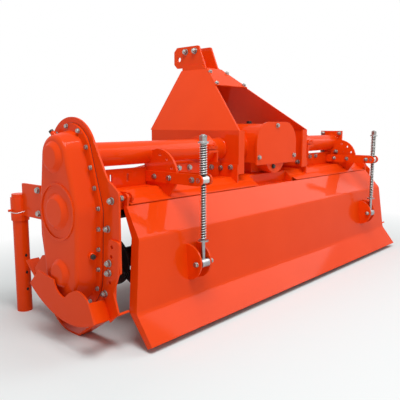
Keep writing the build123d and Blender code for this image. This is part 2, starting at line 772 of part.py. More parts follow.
def make_blades(hand):
    """All blades of one hand, bolted to one face of the flanges."""
    stations = flange_stations()
    used = stations[:-1] if hand > 0 else stations[1:]
    step = 360 / BLADES_PER_SIDE
    start = 0 if hand > 0 else step / 2
    blades = []
    for x in used:
        turn = start + BLADE_STAGGER * stations.index(x)
        face = x + hand * ROTOR_FLANGE_T / 2
        for i in range(BLADES_PER_SIDE):
            blades.append(Pos(face, 0, ROTOR_Z) * blade(turn + i * step, hand))
    return blades


def make_bearing():
    """Right rotor bearing housing with a closed cap."""
    hub = bar_x(0, ROTOR_Z, BEARING_R, RIGHT_X, RIGHT_X + BEARING_DEPTH)
    return hub - bar_x(0, ROTOR_Z, STUB_R + RUN_GAP, RIGHT_X, RIGHT_X + BEARING_DEPTH / 2 + END_GAP)


def box_outline(over):
    """Rear view of the gearbox: flat bottom, upright sides and a rounded top."""
    half = BOX_HALF + over
    low = ROTOR_Z + BOX_LOW_RISE - over
    top = ROTOR_Z + BOX_TOP_RISE + over
    right = arc_points(half - BOX_CORNER, top - BOX_CORNER, BOX_CORNER, *BOX_CORNER_ARC)
    left = [(-p[0], p[1]) for p in reversed(right)]
    return [(half, low)] + right + left + [(-half, low)]


def make_gearbox():
    """Bevel gearbox: cast body, side ports for the tubes, belly, foot and input nose."""
    box = prism_y(box_outline(0), BOX_REAR_Y, BOX_FRONT_Y)
    box += bar_y(0, HOOD_Z + BOX_BELLY_R, BOX_BELLY_R, BOX_REAR_Y, BOX_FRONT_Y)
    box += bar_x(TUBE_Y, TUBE_Z, BOX_PORT_R, -BOX_PORT_X, BOX_PORT_X)
    box += block(-PEDESTAL_HALF, PEDESTAL_HALF, HOOD_REAR_Y / 2, HOOD_FRONT_Y, HOOD_Z, TUBE_Z)
    box += bar_y(0, TUBE_Z, NOSE_R, BOX_FRONT_Y, BOX_FRONT_Y + NOSE_LEN)
    seat = BOX_FRONT_Y + NOSE_LEN - SHAFT_SEAT
    return box - bar_y(0, TUBE_Z, SHAFT_NECK_R + RUN_GAP, seat - END_GAP, BOX_FRONT_Y + NOSE_LEN)


def make_cover():
    """Flat rear cover of the gearbox."""
    return prism_y(box_outline(COVER_OVER), BOX_REAR_Y - COVER_T, BOX_REAR_Y)


def make_input_shaft():
    """Splined input shaft for the drive from the tractor."""
    start = BOX_FRONT_Y + NOSE_LEN - SHAFT_SEAT
    neck = BOX_FRONT_Y + NOSE_LEN + SHAFT_SEAT / 2
    tooth = (SPLINE_R, SPLINE_R, SPLINE_ROOT_R, SPLINE_ROOT_R)
    points = []
    for i, radius in enumerate(tooth * SPLINES):
        angle = 2 * math.pi * i / len(tooth * SPLINES)
        points.append((radius * math.cos(angle), TUBE_Z + radius * math.sin(angle)))
    return bar_y(0, TUBE_Z, SHAFT_NECK_R, start, neck) + prism_y(points, neck, neck + SHAFT_LEN)


def mast_slope_x(z):
    """Outer face of the sloping mast side at a height."""
    low = ROTOR_Z + MAST_CREASE_RISE
    return MAST_X + (MAST_TOP_X - MAST_X) * (z - low) / (MAST_NECK_Z - low)


def mast_rear_y(z):
    """Rear edge of the sloping mast side at a height."""
    low = ROTOR_Z + MAST_CREASE_RISE
    return MAST_REAR_Y + (MAST_TOP_REAR_Y - MAST_REAR_Y) * (z - low) / (MAST_TOP_Z - low)


def make_mast_side():
    """Left mast plate: upright foot, rear flange, the part that slopes in and an upright neck."""
    low = ROTOR_Z + MAST_LOW_RISE
    crease = ROTOR_Z + MAST_CREASE_RISE
    top = MAST_TOP_Z
    side = block(-MAST_X, MAST_T - MAST_X, MAST_REAR_Y, MAST_FRONT_Y, low, crease)
    side -= bar_x(TUBE_Y, TUBE_Z, TUBE_R, -MAST_X, MAST_T - MAST_X)
    side += block(-MAST_X, MAST_FLANGE - MAST_X, MAST_REAR_Y, MAST_REAR_Y + MAST_T, low, crease)
    fall = (MAST_NECK_Z - crease) / (MAST_X - MAST_TOP_X)
    lean = MAST_T * math.hypot(1, fall) / fall
    slab = prism_y(
        [
            (-MAST_X, crease),
            (lean - MAST_X, crease),
            (-EAR_X, crease + fall * (MAST_X - lean - EAR_X)),
            (-EAR_X, top),
            (-MAST_TOP_X, top),
            (-MAST_TOP_X, MAST_NECK_Z),
        ],
        MAST_REAR_Y,
        MAST_FRONT_Y,
    )
    outline = [(MAST_REAR_Y, crease), (MAST_FRONT_Y, crease), (MAST_FRONT_Y, top), (MAST_TOP_REAR_Y, top)]
    return side + (slab & prism_x(outline, -MAST_X, 0))


def make_mast_front():
    """Closed front wall of the mast above the drive shaft."""
    crease = ROTOR_Z + MAST_CREASE_RISE
    points = [(-MAST_X, crease), (MAST_X, crease), (MAST_TOP_X, MAST_NECK_Z), (-MAST_TOP_X, MAST_NECK_Z)]
    return prism_y(points, MAST_FRONT_Y, MAST_FRONT_Y + MAST_T)


def make_mast_cap():
    """Small plate between the top link ears that closes the mast."""
    half = EAR_X - EAR_T
    rear = mast_rear_y(MAST_NECK_Z + MAST_CAP_T)
    return block(-half, half, rear, MAST_FRONT_Y + MAST_T, MAST_NECK_Z, MAST_NECK_Z + MAST_CAP_T)


def make_mast_hatch():
    """Bolted plate over the top of the sloping rear opening of the mast."""
    low = MAST_NECK_Z - MAST_HATCH_DROP
    low_y = mast_rear_y(low)
    top_y = mast_rear_y(MAST_NECK_Z)
    length = math.hypot(top_y - low_y, MAST_HATCH_DROP)
    out_y = -MAST_HATCH_DROP / length * MAST_HATCH_T
    out_z = (top_y - low_y) / length * MAST_HATCH_T
    face = [(low_y, low), (top_y, MAST_NECK_Z)]
    slab = prism_x(face + shifted(reversed(face), out_y, out_z), -MAST_X, MAST_X)
    wide = mast_slope_x(low)
    high = MAST_NECK_Z + MAST_HATCH_T
    rear_view = [(-wide, low), (wide, low), (MAST_TOP_X, MAST_NECK_Z), (MAST_TOP_X, high)]
    rear_view += [(-MAST_TOP_X, high), (-MAST_TOP_X, MAST_NECK_Z)]
    return slab & prism_y(rear_view, MAST_REAR_Y, MAST_FRONT_Y)


def make_ear():
    """Left top link ear between the mast necks, with a sloping rear edge."""
    top = EAR_LOW_Z + EAR_H
    cut = EAR_CHAMFER
    foot_y = mast_rear_y(MAST_NECK_Z) + MAST_T
    corners = [
        (foot_y, MAST_NECK_Z, 0.0),
        (MAST_FRONT_Y + MAST_T, MAST_NECK_Z, 0.0),
        (MAST_FRONT_Y + MAST_T, EAR_LOW_Z, 0.0),
        (EAR_FRONT_Y - cut, EAR_LOW_Z, 0.0),
        (EAR_FRONT_Y, EAR_LOW_Z + cut, 0.0),
        (EAR_FRONT_Y, top - cut, 0.0),
        (EAR_FRONT_Y - cut, top, 0.0),
        (EAR_REAR_Y, top, cut / 2),
    ]
    ear = plate_x(corners, -EAR_X, EAR_T - EAR_X)
    return ear - bar_x(TOP_LINK_Y, TOP_LINK_Z, TOP_LINK_R, -EAR_X, EAR_T - EAR_X)


def make_foot():
    """Foot plate that bolts the left mast plate to the hood."""
    rear = MAST_REAR_Y
    points = [
        (HOOD_REAR_Y, HOOD_Z),
        (FOOT_FRONT_Y, HOOD_Z),
        (FOOT_FRONT_Y, HOOD_Z + FOOT_H),
        (rear, HOOD_Z + FOOT_H),
        (rear, HOOD_Z + (rear - HOOD_REAR_Y) / (HOOD_REAR_Y - HOOD_SLOPE_Y) * HOOD_SLOPE_DROP),
    ]
    return prism_x(points, -MAST_X - FOOT_T, -MAST_X)


def make_saddle():
    """Split clamp on the left tube: two half rings with bolting lips, ribs and a post on the web."""
    left = -CLAMP_X - CLAMP_W
    low = TUBE_Z - CLAMP_SPLIT / 2 - CLAMP_LIP_T
    high = TUBE_Z + CLAMP_SPLIT / 2 + CLAMP_LIP_T
    base = HOOD_Z + WEB_H
    clamp = bar_x(TUBE_Y, TUBE_Z, CLAMP_R, left, -CLAMP_X)
    clamp += block(left, -CLAMP_X, TUBE_Y - CLAMP_LIP, TUBE_Y + CLAMP_LIP, low, high)
    rib = [
        (TUBE_Y - CLAMP_LIP, high),
        (TUBE_Y + CLAMP_LIP, high),
        (TUBE_Y + CLAMP_POST, TUBE_Z + CLAMP_RIB_RISE),
        (TUBE_Y - CLAMP_POST / 2, TUBE_Z + CLAMP_RIB_RISE),
    ]
    clamp += prism_x(rib, -CLAMP_X - CLAMP_RIB_T, -CLAMP_X)
    post = [
        (TUBE_Y - CLAMP_LIP, low),
        (TUBE_Y + CLAMP_LIP, low),
        (TUBE_Y + CLAMP_POST, base),
        (TUBE_Y - CLAMP_LIP, base),
    ]
    clamp += prism_x(post, -CLAMP_X - CLAMP_RIB_T, -CLAMP_X)
    clamp -= bar_x(TUBE_Y, TUBE_Z, TUBE_R, left, -CLAMP_X)
    for way in (-1, 1):
        lip_y = sorted((TUBE_Y + way * CLAMP_LIP, TUBE_Y + way * CLAMP_R))
        clamp -= block(left, -CLAMP_X, *lip_y, low + CLAMP_LIP_T, high - CLAMP_LIP_T)
    return clamp - block(left, -CLAMP_X, WEB_Y, WEB_Y + WEB_T, HOOD_Z, base)


def make_hitch():
    """Left lower hitch: cross block beside the mast foot and two bored cheek plates."""
    z = ROTOR_Z + HITCH_RISE
    half = HITCH_GAP / 2
    out = -HITCH_X - half - HITCH_T
    hitch = block(out, -MAST_X - FOOT_T, HITCH_REAR_Y, FOOT_FRONT_Y, HOOD_Z, HOOD_Z + FOOT_H)
    points = [(HITCH_REAR_Y, HOOD_Z + FOOT_H), (HITCH_REAR_Y, HOOD_Z)]
    points += arc_points(HITCH_Y, z, HITCH_EYE_R, *HITCH_EYE_ARC)
    points += [(FOOT_FRONT_Y, HOOD_Z + FOOT_H)]
    for x in (out, half - HITCH_X):
        hitch += prism_x(points, x, x + HITCH_T)
    return hitch - bar_x(HITCH_Y, z, HITCH_R, out, half + HITCH_T - HITCH_X)


def stand_x(side):
    """Middle plane of a parking stand, in line with the side wall."""
    return WALL_T / 2 - LEFT_X if side < 0 else RIGHT_X - WALL_T / 2


def make_stand_bracket(side):
    """Bracket plate in front of the side wall with the round sleeve of a parking stand."""
    x = stand_x(side)
    bore = STAND_LEG_R + STAND_FIT
    outer = bore + STAND_SLEEVE_T
    low = ROTOR_Z + STAND_PLATE_RISE
    high = low + STAND_PLATE_H
    corners = [
        (WALL_FRONT_Y, low, 0.0),
        (STAND_Y, low, 0.0),
        (STAND_Y, high - STAND_PLATE_ROUND, 0.0),
        (STAND_Y - outer, high, STAND_PLATE_ROUND),
        (WALL_FRONT_Y, high, 0.0),
    ]
    bracket = plate_x(corners, x - WALL_T / 2, x + WALL_T / 2)
    low = ROTOR_Z + STAND_SLEEVE_RISE
    high = low + STAND_SLEEVE_H
    bracket += bar_z(x, STAND_Y, outer, low, high)
    bracket -= bar_z(x, STAND_Y, bore, ROTOR_Z, TUBE_Z)
    pin_z = low + STAND_PIN_RISE
    for way in (-1, 1):
        seat = x + way * (bore + STAND_FIT)
        bracket += bar_x(STAND_Y, pin_z, STAND_PIN_R, seat, x + way * (outer + STAND_PIN_OUT))
    return bracket


def make_stand_leg(side):
    """Round parking leg that slides in its sleeve."""
    return bar_z(stand_x(side), STAND_Y, STAND_LEG_R, 0, STAND_LEG_H)


def make_skid(side):
    """Depth skid: bent sole below the side wall, holed strap, leg and front strap on the wall."""
    wall = -LEFT_X if side < 0 else RIGHT_X
    outer = wall + side * SKID_STRAP_T
    sole_left = outer if side < 0 else wall - WALL_T
    sole_x = (sole_left, sole_left + SKID_W)
    strap_x = sorted((wall, outer))
    step = 0.0 if side < 0 else SKID_RIGHT_SHIFT
    skid = plate_x(thickened(SKID_SOLE, SKID_T), *sole_x)
    skid += plate_x([(c[0] + step,) + c[1:] for c in SKID_STRAP], *strap_x)
    skid += plate_x(SKID_LEFT_LEG if side < 0 else SKID_RIGHT_LEG, *strap_x)
    skid += plate_x(SKID_FRONT, *strap_x)
    for y, z in SKID_HOLES:
        skid -= bar_x(y + step, z, SKID_HOLE_R, *strap_x)
    return skid


def make_guard():
    """Crescent plate under the gear case with a notch round the lowest boss and a bent tail."""
    line = [Spline(GUARD_TIP, *GUARD_BELLY, GUARD_TAIL_LOW)]
    line.append(Line(GUARD_TAIL_LOW, GUARD_TAIL_HIGH))
    line.append(ThreePointArc(GUARD_TAIL_HIGH, GUARD_REAR_ARC, GUARD_PEAK))
    line.append(ThreePointArc(GUARD_PEAK, GUARD_THROAT_ARC, GUARD_THROAT))
    line.append(ThreePointArc(GUARD_THROAT, GUARD_NOTCH_ARC, GUARD_NOTCH))
    line.append(Line(GUARD_NOTCH, GUARD_BROW))
    line.append(Line(GUARD_BROW, GUARD_TIP))
    outline = Pos(0, ROTOR_Z) * make_face([edge for part in line for edge in part.edges()])
    guard = Pos(-GUARD_X, 0, 0) * extrude(Plane.YZ * outline, amount=GUARD_T, dir=(1, 0, 0))
    guard += bar_x(GUARD_STUD[0], ROTOR_Z + GUARD_STUD[1], GUARD_STUD_R, GUARD_T - GUARD_X, -CASE_FACE_X)
    tail = []
    for y, rise in (GUARD_TAIL_HIGH, GUARD_TAIL_LOW):
        tail.append((-GUARD_X, y, ROTOR_Z + rise))
    lean = (GUARD_X - LEFT_X - SKID_STRAP_T,) + GUARD_TAIL_LEAN
    for corner in reversed(tail[:]):
        tail.append(tuple(c + step for c, step in zip(corner, lean)))
    sheet = make_face(Polyline(*tail, close=True))
    return guard + extrude(sheet, amount=GUARD_T, dir=(0, 1, 0))


def all_nodes():
    """Every node of the assembly with its solids, in the working frame."""
    arm = make_arm()
    trunnion = make_trunnion()
    rod = make_rod()
    low_spring = make_low_spring()
    top_spring = make_top_spring()
    clevis = make_clevis()
    mast = make_mast_side()
    ear = make_ear()
    foot = make_foot()
    saddle = make_saddle()
    hitch = make_hitch()
    return {
        "left_wall": make_left_wall(),
        "right_wall": make_right_wall(),
        "gear_case": make_gear_case(),
        "left_tube": make_left_tube(),
        "right_tube": make_right_tube(),
        "hood": make_hood(),
        "left_web": make_web(-1),
        "right_web": make_web(1),
        "gearbox": make_gearbox(),
        "gearbox_cover": make_cover(),
        "mast_left": mast,
        "mast_right": other_side(mast),
        "mast_front": make_mast_front(),
        "mast_cap": make_mast_cap(),
        "mast_hatch": make_mast_hatch(),
        "left_ear": ear,
        "right_ear": other_side(ear),
        "left_foot": foot,
        "right_foot": other_side(foot),
        "left_saddle": saddle,
        "right_saddle": other_side(saddle),
        "left_hitch": hitch,
        "right_hitch": other_side(hitch),
        "left_arm": arm,
        "right_arm": other_side(arm),
        "left_skid": make_skid(-1),
        "right_skid": make_skid(1),
        "case_guard": make_guard(),
        "bearing": make_bearing(),
        "left_stand_bracket": make_stand_bracket(-1),
        "right_stand_bracket": make_stand_bracket(1),
        "left_stand_leg": make_stand_leg(-1),
        "right_stand_leg": make_stand_leg(1),
        "rotor": make_rotor(),
        "input_shaft": make_input_shaft(),
        "board": make_board(),
        "left_clevis": clevis,
        "right_clevis": other_side(clevis),
        "left_trunnion": trunnion,
        "right_trunnion": other_side(trunnion),
        "left_rod": rod,
        "right_rod": other_side(rod),
        "left_low_spring": low_spring,
        "right_low_spring": other_side(low_spring),
        "left_top_spring": top_spring,
        "right_top_spring": other_side(top_spring),
    }


def solids_of(shape):
    """Flat list of the solids in a piece or a list of pieces."""
    if isinstance(shape, list):
        return [solid for item in shape for solid in item.solids()]
    return list(shape.solids())


def main():
    """Builds the assembly, sets it on the floor round its middle and writes one file a node."""
    os.makedirs("parts", exist_ok=True)
    nodes = {name: solids_of(shape) for name, shape in all_nodes().items()}
    box = Compound([s for solids in nodes.values() for s in solids]).bounding_box()
    shift = Pos(-(box.min.X + box.max.X) / 2, -(box.min.Y + box.max.Y) / 2, -box.min.Z)
    print("shift", shift.position.X, shift.position.Y, shift.position.Z)
    print("size", box.size.X, box.size.Y, box.size.Z)
    for name, solids in nodes.items():
        placed = [shift * solid for solid in solids]
        export_step(placed[0] if len(placed) == 1 else Compound(placed), f"parts/{name}.step")
        print(name, len(solids), round(sum(s.volume for s in solids)))


main()
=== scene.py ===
import json
import logging
import math
from dataclasses import dataclass
from enum import Enum
from typing import Callable, ClassVar, Iterable, Sequence

import bpy
from mathutils import Matrix, Vector


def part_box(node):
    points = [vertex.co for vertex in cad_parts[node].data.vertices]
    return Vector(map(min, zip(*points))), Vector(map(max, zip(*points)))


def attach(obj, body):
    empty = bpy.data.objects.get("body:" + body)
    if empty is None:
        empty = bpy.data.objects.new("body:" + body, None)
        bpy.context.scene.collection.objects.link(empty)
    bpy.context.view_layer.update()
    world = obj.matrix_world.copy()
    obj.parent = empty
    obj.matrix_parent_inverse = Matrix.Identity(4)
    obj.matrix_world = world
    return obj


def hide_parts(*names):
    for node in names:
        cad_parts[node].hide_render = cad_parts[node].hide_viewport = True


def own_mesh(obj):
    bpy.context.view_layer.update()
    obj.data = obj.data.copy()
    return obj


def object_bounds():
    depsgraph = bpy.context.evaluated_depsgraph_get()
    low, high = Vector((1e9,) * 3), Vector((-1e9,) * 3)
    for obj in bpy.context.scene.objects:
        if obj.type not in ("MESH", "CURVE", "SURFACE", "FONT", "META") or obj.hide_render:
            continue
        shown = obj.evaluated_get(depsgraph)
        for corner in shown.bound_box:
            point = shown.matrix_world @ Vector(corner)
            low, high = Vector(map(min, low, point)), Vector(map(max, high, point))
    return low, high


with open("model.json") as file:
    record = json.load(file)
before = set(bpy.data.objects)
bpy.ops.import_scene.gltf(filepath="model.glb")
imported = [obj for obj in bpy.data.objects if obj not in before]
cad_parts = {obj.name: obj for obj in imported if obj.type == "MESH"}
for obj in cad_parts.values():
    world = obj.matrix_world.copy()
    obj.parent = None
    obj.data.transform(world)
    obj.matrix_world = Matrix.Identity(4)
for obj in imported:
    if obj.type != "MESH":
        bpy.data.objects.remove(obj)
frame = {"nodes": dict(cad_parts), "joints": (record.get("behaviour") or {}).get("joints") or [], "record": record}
CAD_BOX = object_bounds()

Pair = tuple[float, float]
Pairs = tuple[Pair, ...]
Triple = tuple[float, float, float]
Piece = bpy.types.Object
Socket = bpy.types.NodeSocket

LEFT = Vector((-1.0, 0.0, 0.0))
RIGHT = Vector((1.0, 0.0, 0.0))
REAR = Vector((0.0, -1.0, 0.0))
FORWARD = Vector((0.0, 1.0, 0.0))
DOWN = Vector((0.0, 0.0, -1.0))
# Each side's name, its sign across the machine and the direction into it.
SIDES = (("left", -1, RIGHT), ("right", 1, LEFT))
# Height of the rotor's axis, and forward offset and height of the main tube's axis.
AXIS_Z = 0.250
TUBE_Y, TUBE_Z = 0.018, 0.647
# Distance from which seats are met, well outside the machine.
OUT = 1.5
WHITE = (1.0, 1.0, 1.0, 1.0)

log = logging.getLogger("tiller")


class Slot(Enum):
    """Material slots of the record."""

    PAINT = "paint"
    ZINC = "zinc"
    ROTOR = "rotor_steel"
    BRIGHT = "bright_steel"


class Body(Enum):
    """Moving bodies of the frame that new pieces ride on."""

    FRAME = "frame"
    ROTOR = "rotor"
    BOARD = "board"


class Thread(Enum):
    """Bolt sizes, each by the width over the flats of its head in metres."""

    M8 = 0.013
    M10 = 0.017
    M12 = 0.019
    M16 = 0.024


class Form(Enum):
    """How a fastener shows: a bolt head, a nut on a threaded end, or a bare hexagon."""

    HEAD = "head"
    NUT = "nut"
    PLAIN = "plain"


class Graph:
    """A node tree with short calls to add nodes, set their sockets and link them."""

    def __init__(self, tree: bpy.types.NodeTree) -> None:
        """Keeps the tree and empties it."""
        self.tree = tree
        self.tree.nodes.clear()

    def add(self, kind: str, values: dict | None = None, **settings: object) -> bpy.types.Node:
        """Adds a node.

        Args:
            kind: Blender's name of the node type.
            values: Socket names or indices with their plain values or the sockets that feed them.
            settings: Properties of the node itself.

        Returns:
            The new node.
        """
        node = self.tree.nodes.new(kind)
        for name, value in settings.items():
            setattr(node, name, value)
        for key, value in (values or {}).items():
            self.feed(node.inputs[key], value)
        return node

    def feed(self, socket: Socket, value: object) -> None:
        """Links an input to another socket, or gives it a plain value.

        Args:
            socket: The input.
            value: The socket that feeds it, or its value.
        """
        if isinstance(value, Socket):
            self.tree.links.new(value, socket)
        else:
            socket.default_value = value

    def math(self, operation: str, a: object, b: object = 0.0) -> Socket:
        """Adds a Math node and returns its value."""
        return self.add("ShaderNodeMath", {0: a, 1: b}, operation=operation).outputs[0]

    def blend(self, share: object, a: object, b: object) -> Socket:
        """Adds a colour mix.

        Args:
            share: Share of the second colour.
            a: The first colour.
            b: The second colour.

        Returns:
            The mixed colour.
        """
        node = self.add("ShaderNodeMix", data_type="RGBA")
        values = {"Factor_Float": share, "A_Color": a, "B_Color": b}
        for socket in node.inputs:
            if socket.identifier in values:
                self.feed(socket, values[socket.identifier])
        return next(s for s in node.outputs if s.identifier == "Result_Color")

    def span(self, value: object, low: float, high: float, to: Pair = (0.0, 1.0)) -> Socket:
        """Adds a Map Range node and returns its value."""
        ends = {"From Min": low, "From Max": high, "To Min": to[0], "To Max": to[1]}
        return self.add("ShaderNodeMapRange", {"Value": value, **ends}).outputs["Result"]


class ShaderGroups:
    """Shared surface effects, each a node group with named inputs and outputs."""

    EDGE: ClassVar[str] = "edge_mask"
    EDGE_TURN: ClassVar[Pair] = (0.995, 0.80)  # cosines over which a turned normal makes an edge
    EDGE_BREAK: ClassVar[Pair] = (0.40, 0.66)  # noise values over which the edge breaks up
    BEVEL_SAMPLES: ClassVar[int] = 6
    GRAIN: ClassVar[str] = "surface_grain"
    PATCH_SPAN: ClassVar[Pair] = (0.3, 0.7)
    GRAIN_SPAN: ClassVar[Pair] = (0.25, 0.75)
    CELL_SHARE: ClassVar[float] = 0.5  # weight of the cells in the bump height

    @staticmethod
    def _start(
        name: str, inputs: dict[str, float], outputs: Sequence[str]
    ) -> tuple[Graph, dict, bpy.types.Node]:
        """Starts a group with value sockets.

        Args:
            name: Name of the group.
            inputs: Names of the inputs with their first values.
            outputs: Names of the outputs.

        Returns:
            The graph, its input sockets by name and its output node.
        """
        kind = "NodeSocketFloat"
        tree = bpy.data.node_groups.new(name, "ShaderNodeTree")
        for label, value in inputs.items():
            socket = tree.interface.new_socket(label, in_out="INPUT", socket_type=kind)
            socket.default_value = value
        for label in outputs:
            tree.interface.new_socket(label, in_out="OUTPUT", socket_type=kind)
        graph = Graph(tree)
        entry = graph.add("NodeGroupInput")
        given = {label: entry.outputs[label] for label in inputs}
        return graph, given, graph.add("NodeGroupOutput")

    @classmethod
    def edge_mask(cls) -> bpy.types.NodeTree:
        """Group that finds sharp edges: one on an edge, nothing on a flat, broken by a fine noise.

        Returns:
            The node group.
        """
        if cls.EDGE in bpy.data.node_groups:
            return bpy.data.node_groups[cls.EDGE]
        graph, given, out = cls._start(cls.EDGE, {"Radius": 0.003, "Break": 60.0}, ["Mask"])
        radius = {"Radius": given["Radius"]}
        rounded = graph.add("ShaderNodeBevel", radius, samples=cls.BEVEL_SAMPLES)
        flat = graph.add("ShaderNodeNewGeometry")
        pair = {0: rounded.outputs["Normal"], 1: flat.outputs["Normal"]}
        same = graph.add("ShaderNodeVectorMath", pair, operation="DOT_PRODUCT").outputs["Value"]
        turned = graph.span(same, *cls.EDGE_TURN)
        spot = graph.add("ShaderNodeTexCoord").outputs["Object"]
        noise = graph.add("ShaderNodeTexNoise", {"Vector": spot, "Scale": given["Break"]})
        patchy = graph.span(noise.outputs["Fac"], *cls.EDGE_BREAK)
        graph.tree.links.new(graph.math("MULTIPLY", turned, patchy), out.inputs["Mask"])
        return graph.tree

    @classmethod
    def surface_grain(cls) -> bpy.types.NodeTree:
        """Group with slow patches, a fine grain and the bump height that goes with it.

        Returns:
            The node group.
        """
        if cls.GRAIN in bpy.data.node_groups:
            return bpy.data.node_groups[cls.GRAIN]
        outputs = ["Patches", "Grain", "Height"]
        graph, given, out = cls._start(cls.GRAIN, {"Patch": 4.0, "Fine": 220.0}, outputs)
        spot = graph.add("ShaderNodeTexCoord").outputs["Object"]
        patch_values = {"Vector": spot, "Scale": given["Patch"], "Detail": 4.0, "Roughness": 0.55}
        patch = graph.add("ShaderNodeTexNoise", patch_values).outputs["Fac"]
        fine_values = {"Vector": spot, "Scale": given["Fine"], "Detail": 2.0, "Roughness": 0.5}
        fine = graph.add("ShaderNodeTexNoise", fine_values).outputs["Fac"]
        cell_values = {"Vector": spot, "Scale": given["Fine"]}
        cell = graph.add("ShaderNodeTexVoronoi", cell_values).outputs["Distance"]
        graph.tree.links.new(graph.span(patch, *cls.PATCH_SPAN), out.inputs["Patches"])
        graph.tree.links.new(graph.span(fine, *cls.GRAIN_SPAN), out.inputs["Grain"])
        height = graph.math("ADD", fine, graph.math("MULTIPLY", cell, cls.CELL_SHARE))
        graph.tree.links.new(height, out.inputs["Height"])
        return graph.tree


@dataclass(frozen=True)
class Finish:
    """A metal or paint finish, with the colours and scales that make its material."""

    name: str
    slot: Slot
    colour: Triple
    patch_colour: Triple
    edge_wear_highlight_colour: Triple  # colour of sharp edges: a painted highlight where they catch the light, and rubbed bare metal on the rotor steel
    edge_wear_highlight_share: float  # how strongly edges take that colour
    roughness: float
    rough_spread: float  # how far the roughness wanders
    patch_scale: float
    grain_scale: float
    metallic: float = 1.0  # share of bare metal
    specular: float = 0.5  # specular level below the coat
    coat: float = 0.0
    coat_roughness: float = 0.03
    bump: float = 0.00008  # depth of the fine grain in metres
    edge_radius: float = 0.0008  # radius over which edges are rounded for the light
    band: Pair | None = None  # heights between which the colour is darkened as painted shade, or nothing
    shade_band_colour: Triple = (0.03, 0.03, 0.03)

    def _oiled(self, graph: Graph, base: Socket) -> Socket:
        """Darkens the base colour between the two heights of the band, as painted shade.

        Args:
            graph: The material's graph.
            base: The base colour.

        Returns:
            The colour with the painted shade band.
        """
        low, high = self.band
        spot = graph.add("ShaderNodeTexCoord").outputs["Object"]
        height = graph.add("ShaderNodeSeparateXYZ", {0: spot}).outputs["Z"]
        over = graph.math("GREATER_THAN", height, low)
        under = graph.math("LESS_THAN", height, high)
        return graph.blend(graph.math("MULTIPLY", over, under), base, (*self.shade_band_colour, 1.0))

    def material(self) -> bpy.types.Material:
        """Builds the material once.

        Returns:
            The material of this finish.
        """
        if self.name in bpy.data.materials:
            return bpy.data.materials[self.name]
        made = bpy.data.materials.new(self.name)
        made.use_nodes = True
        graph = Graph(made.node_tree)
        grain = graph.add("ShaderNodeGroup", node_tree=ShaderGroups.surface_grain())
        grain.inputs["Patch"].default_value = self.patch_scale
        grain.inputs["Fine"].default_value = self.grain_scale
        edge = graph.add("ShaderNodeGroup", node_tree=ShaderGroups.edge_mask())
        edge.inputs["Radius"].default_value = self.edge_radius
        # Sharp edges take the edge colour: a painted highlight, and on the rotor steel rubbed bare metal.
        edge_wear_highlight_share = graph.math("MULTIPLY", edge.outputs["Mask"], self.edge_wear_highlight_share)
        base = graph.blend(grain.outputs["Patches"], (*self.colour, 1.0), (*self.patch_colour, 1.0))
        base = graph.blend(edge_wear_highlight_share, base, (*self.edge_wear_highlight_colour, 1.0))
        # A band between two heights is darkened as painted shade.
        if self.band is not None:
            base = self._oiled(graph, base)
        ends = (self.roughness - self.rough_spread / 2, self.roughness + self.rough_spread / 2)
        rough = graph.span(grain.outputs["Patches"], 0.0, 1.0, ends)
        samples = ShaderGroups.BEVEL_SAMPLES
        rounded = graph.add("ShaderNodeBevel", {"Radius": self.edge_radius}, samples=samples)
        bump_values = {
            "Height": grain.outputs["Height"],
            "Distance": self.bump,
            "Strength": 1.0,
            "Normal": rounded.outputs["Normal"],
        }
        bump = graph.add("ShaderNodeBump", bump_values)
        surface = {
            "Base Color": base,
            "Roughness": rough,
            "Metallic": self.metallic,
            "Specular IOR Level": self.specular,
            "Coat Weight": self.coat,
            "Coat Roughness": self.coat_roughness,
            "Normal": bump.outputs["Normal"],
        }
        shader = graph.add("ShaderNodeBsdfPrincipled", surface)
        graph.add("ShaderNodeOutputMaterial", {"Surface": shader.outputs["BSDF"]})
        return made


PAINT = Finish(
    name="orange_paint", slot=Slot.PAINT, colour=(0.85, 0.060, 0.002),
    patch_colour=(0.80, 0.053, 0.002), edge_wear_highlight_colour=(0.95, 0.14, 0.03), edge_wear_highlight_share=0.5,
    roughness=0.45, rough_spread=0.08, metallic=0.0, specular=0.04, coat=0.21, coat_roughness=0.07,
    patch_scale=3.0, grain_scale=260.0, edge_radius=0.0025,
)
ZINC = Finish(
    name="zinc_plate", slot=Slot.ZINC, colour=(0.66, 0.66, 0.65), patch_colour=(0.45, 0.45, 0.43),
    edge_wear_highlight_colour=(0.80, 0.80, 0.78), edge_wear_highlight_share=0.6, roughness=0.27, rough_spread=0.14,
    patch_scale=110.0, grain_scale=900.0,
)
# Rougher zinc for bolts and nuts, darker in colour as painted shade for the darker surroundings they mirror.
SHADED_BOLT_ZINC = Finish(
    name="dulled_zinc", slot=Slot.ZINC, colour=(0.46, 0.46, 0.44), patch_colour=(0.25, 0.25, 0.235),
    edge_wear_highlight_colour=(0.72, 0.72, 0.70), edge_wear_highlight_share=0.6, roughness=0.33, rough_spread=0.14,
    patch_scale=130.0, grain_scale=900.0, bump=0.0001,
)
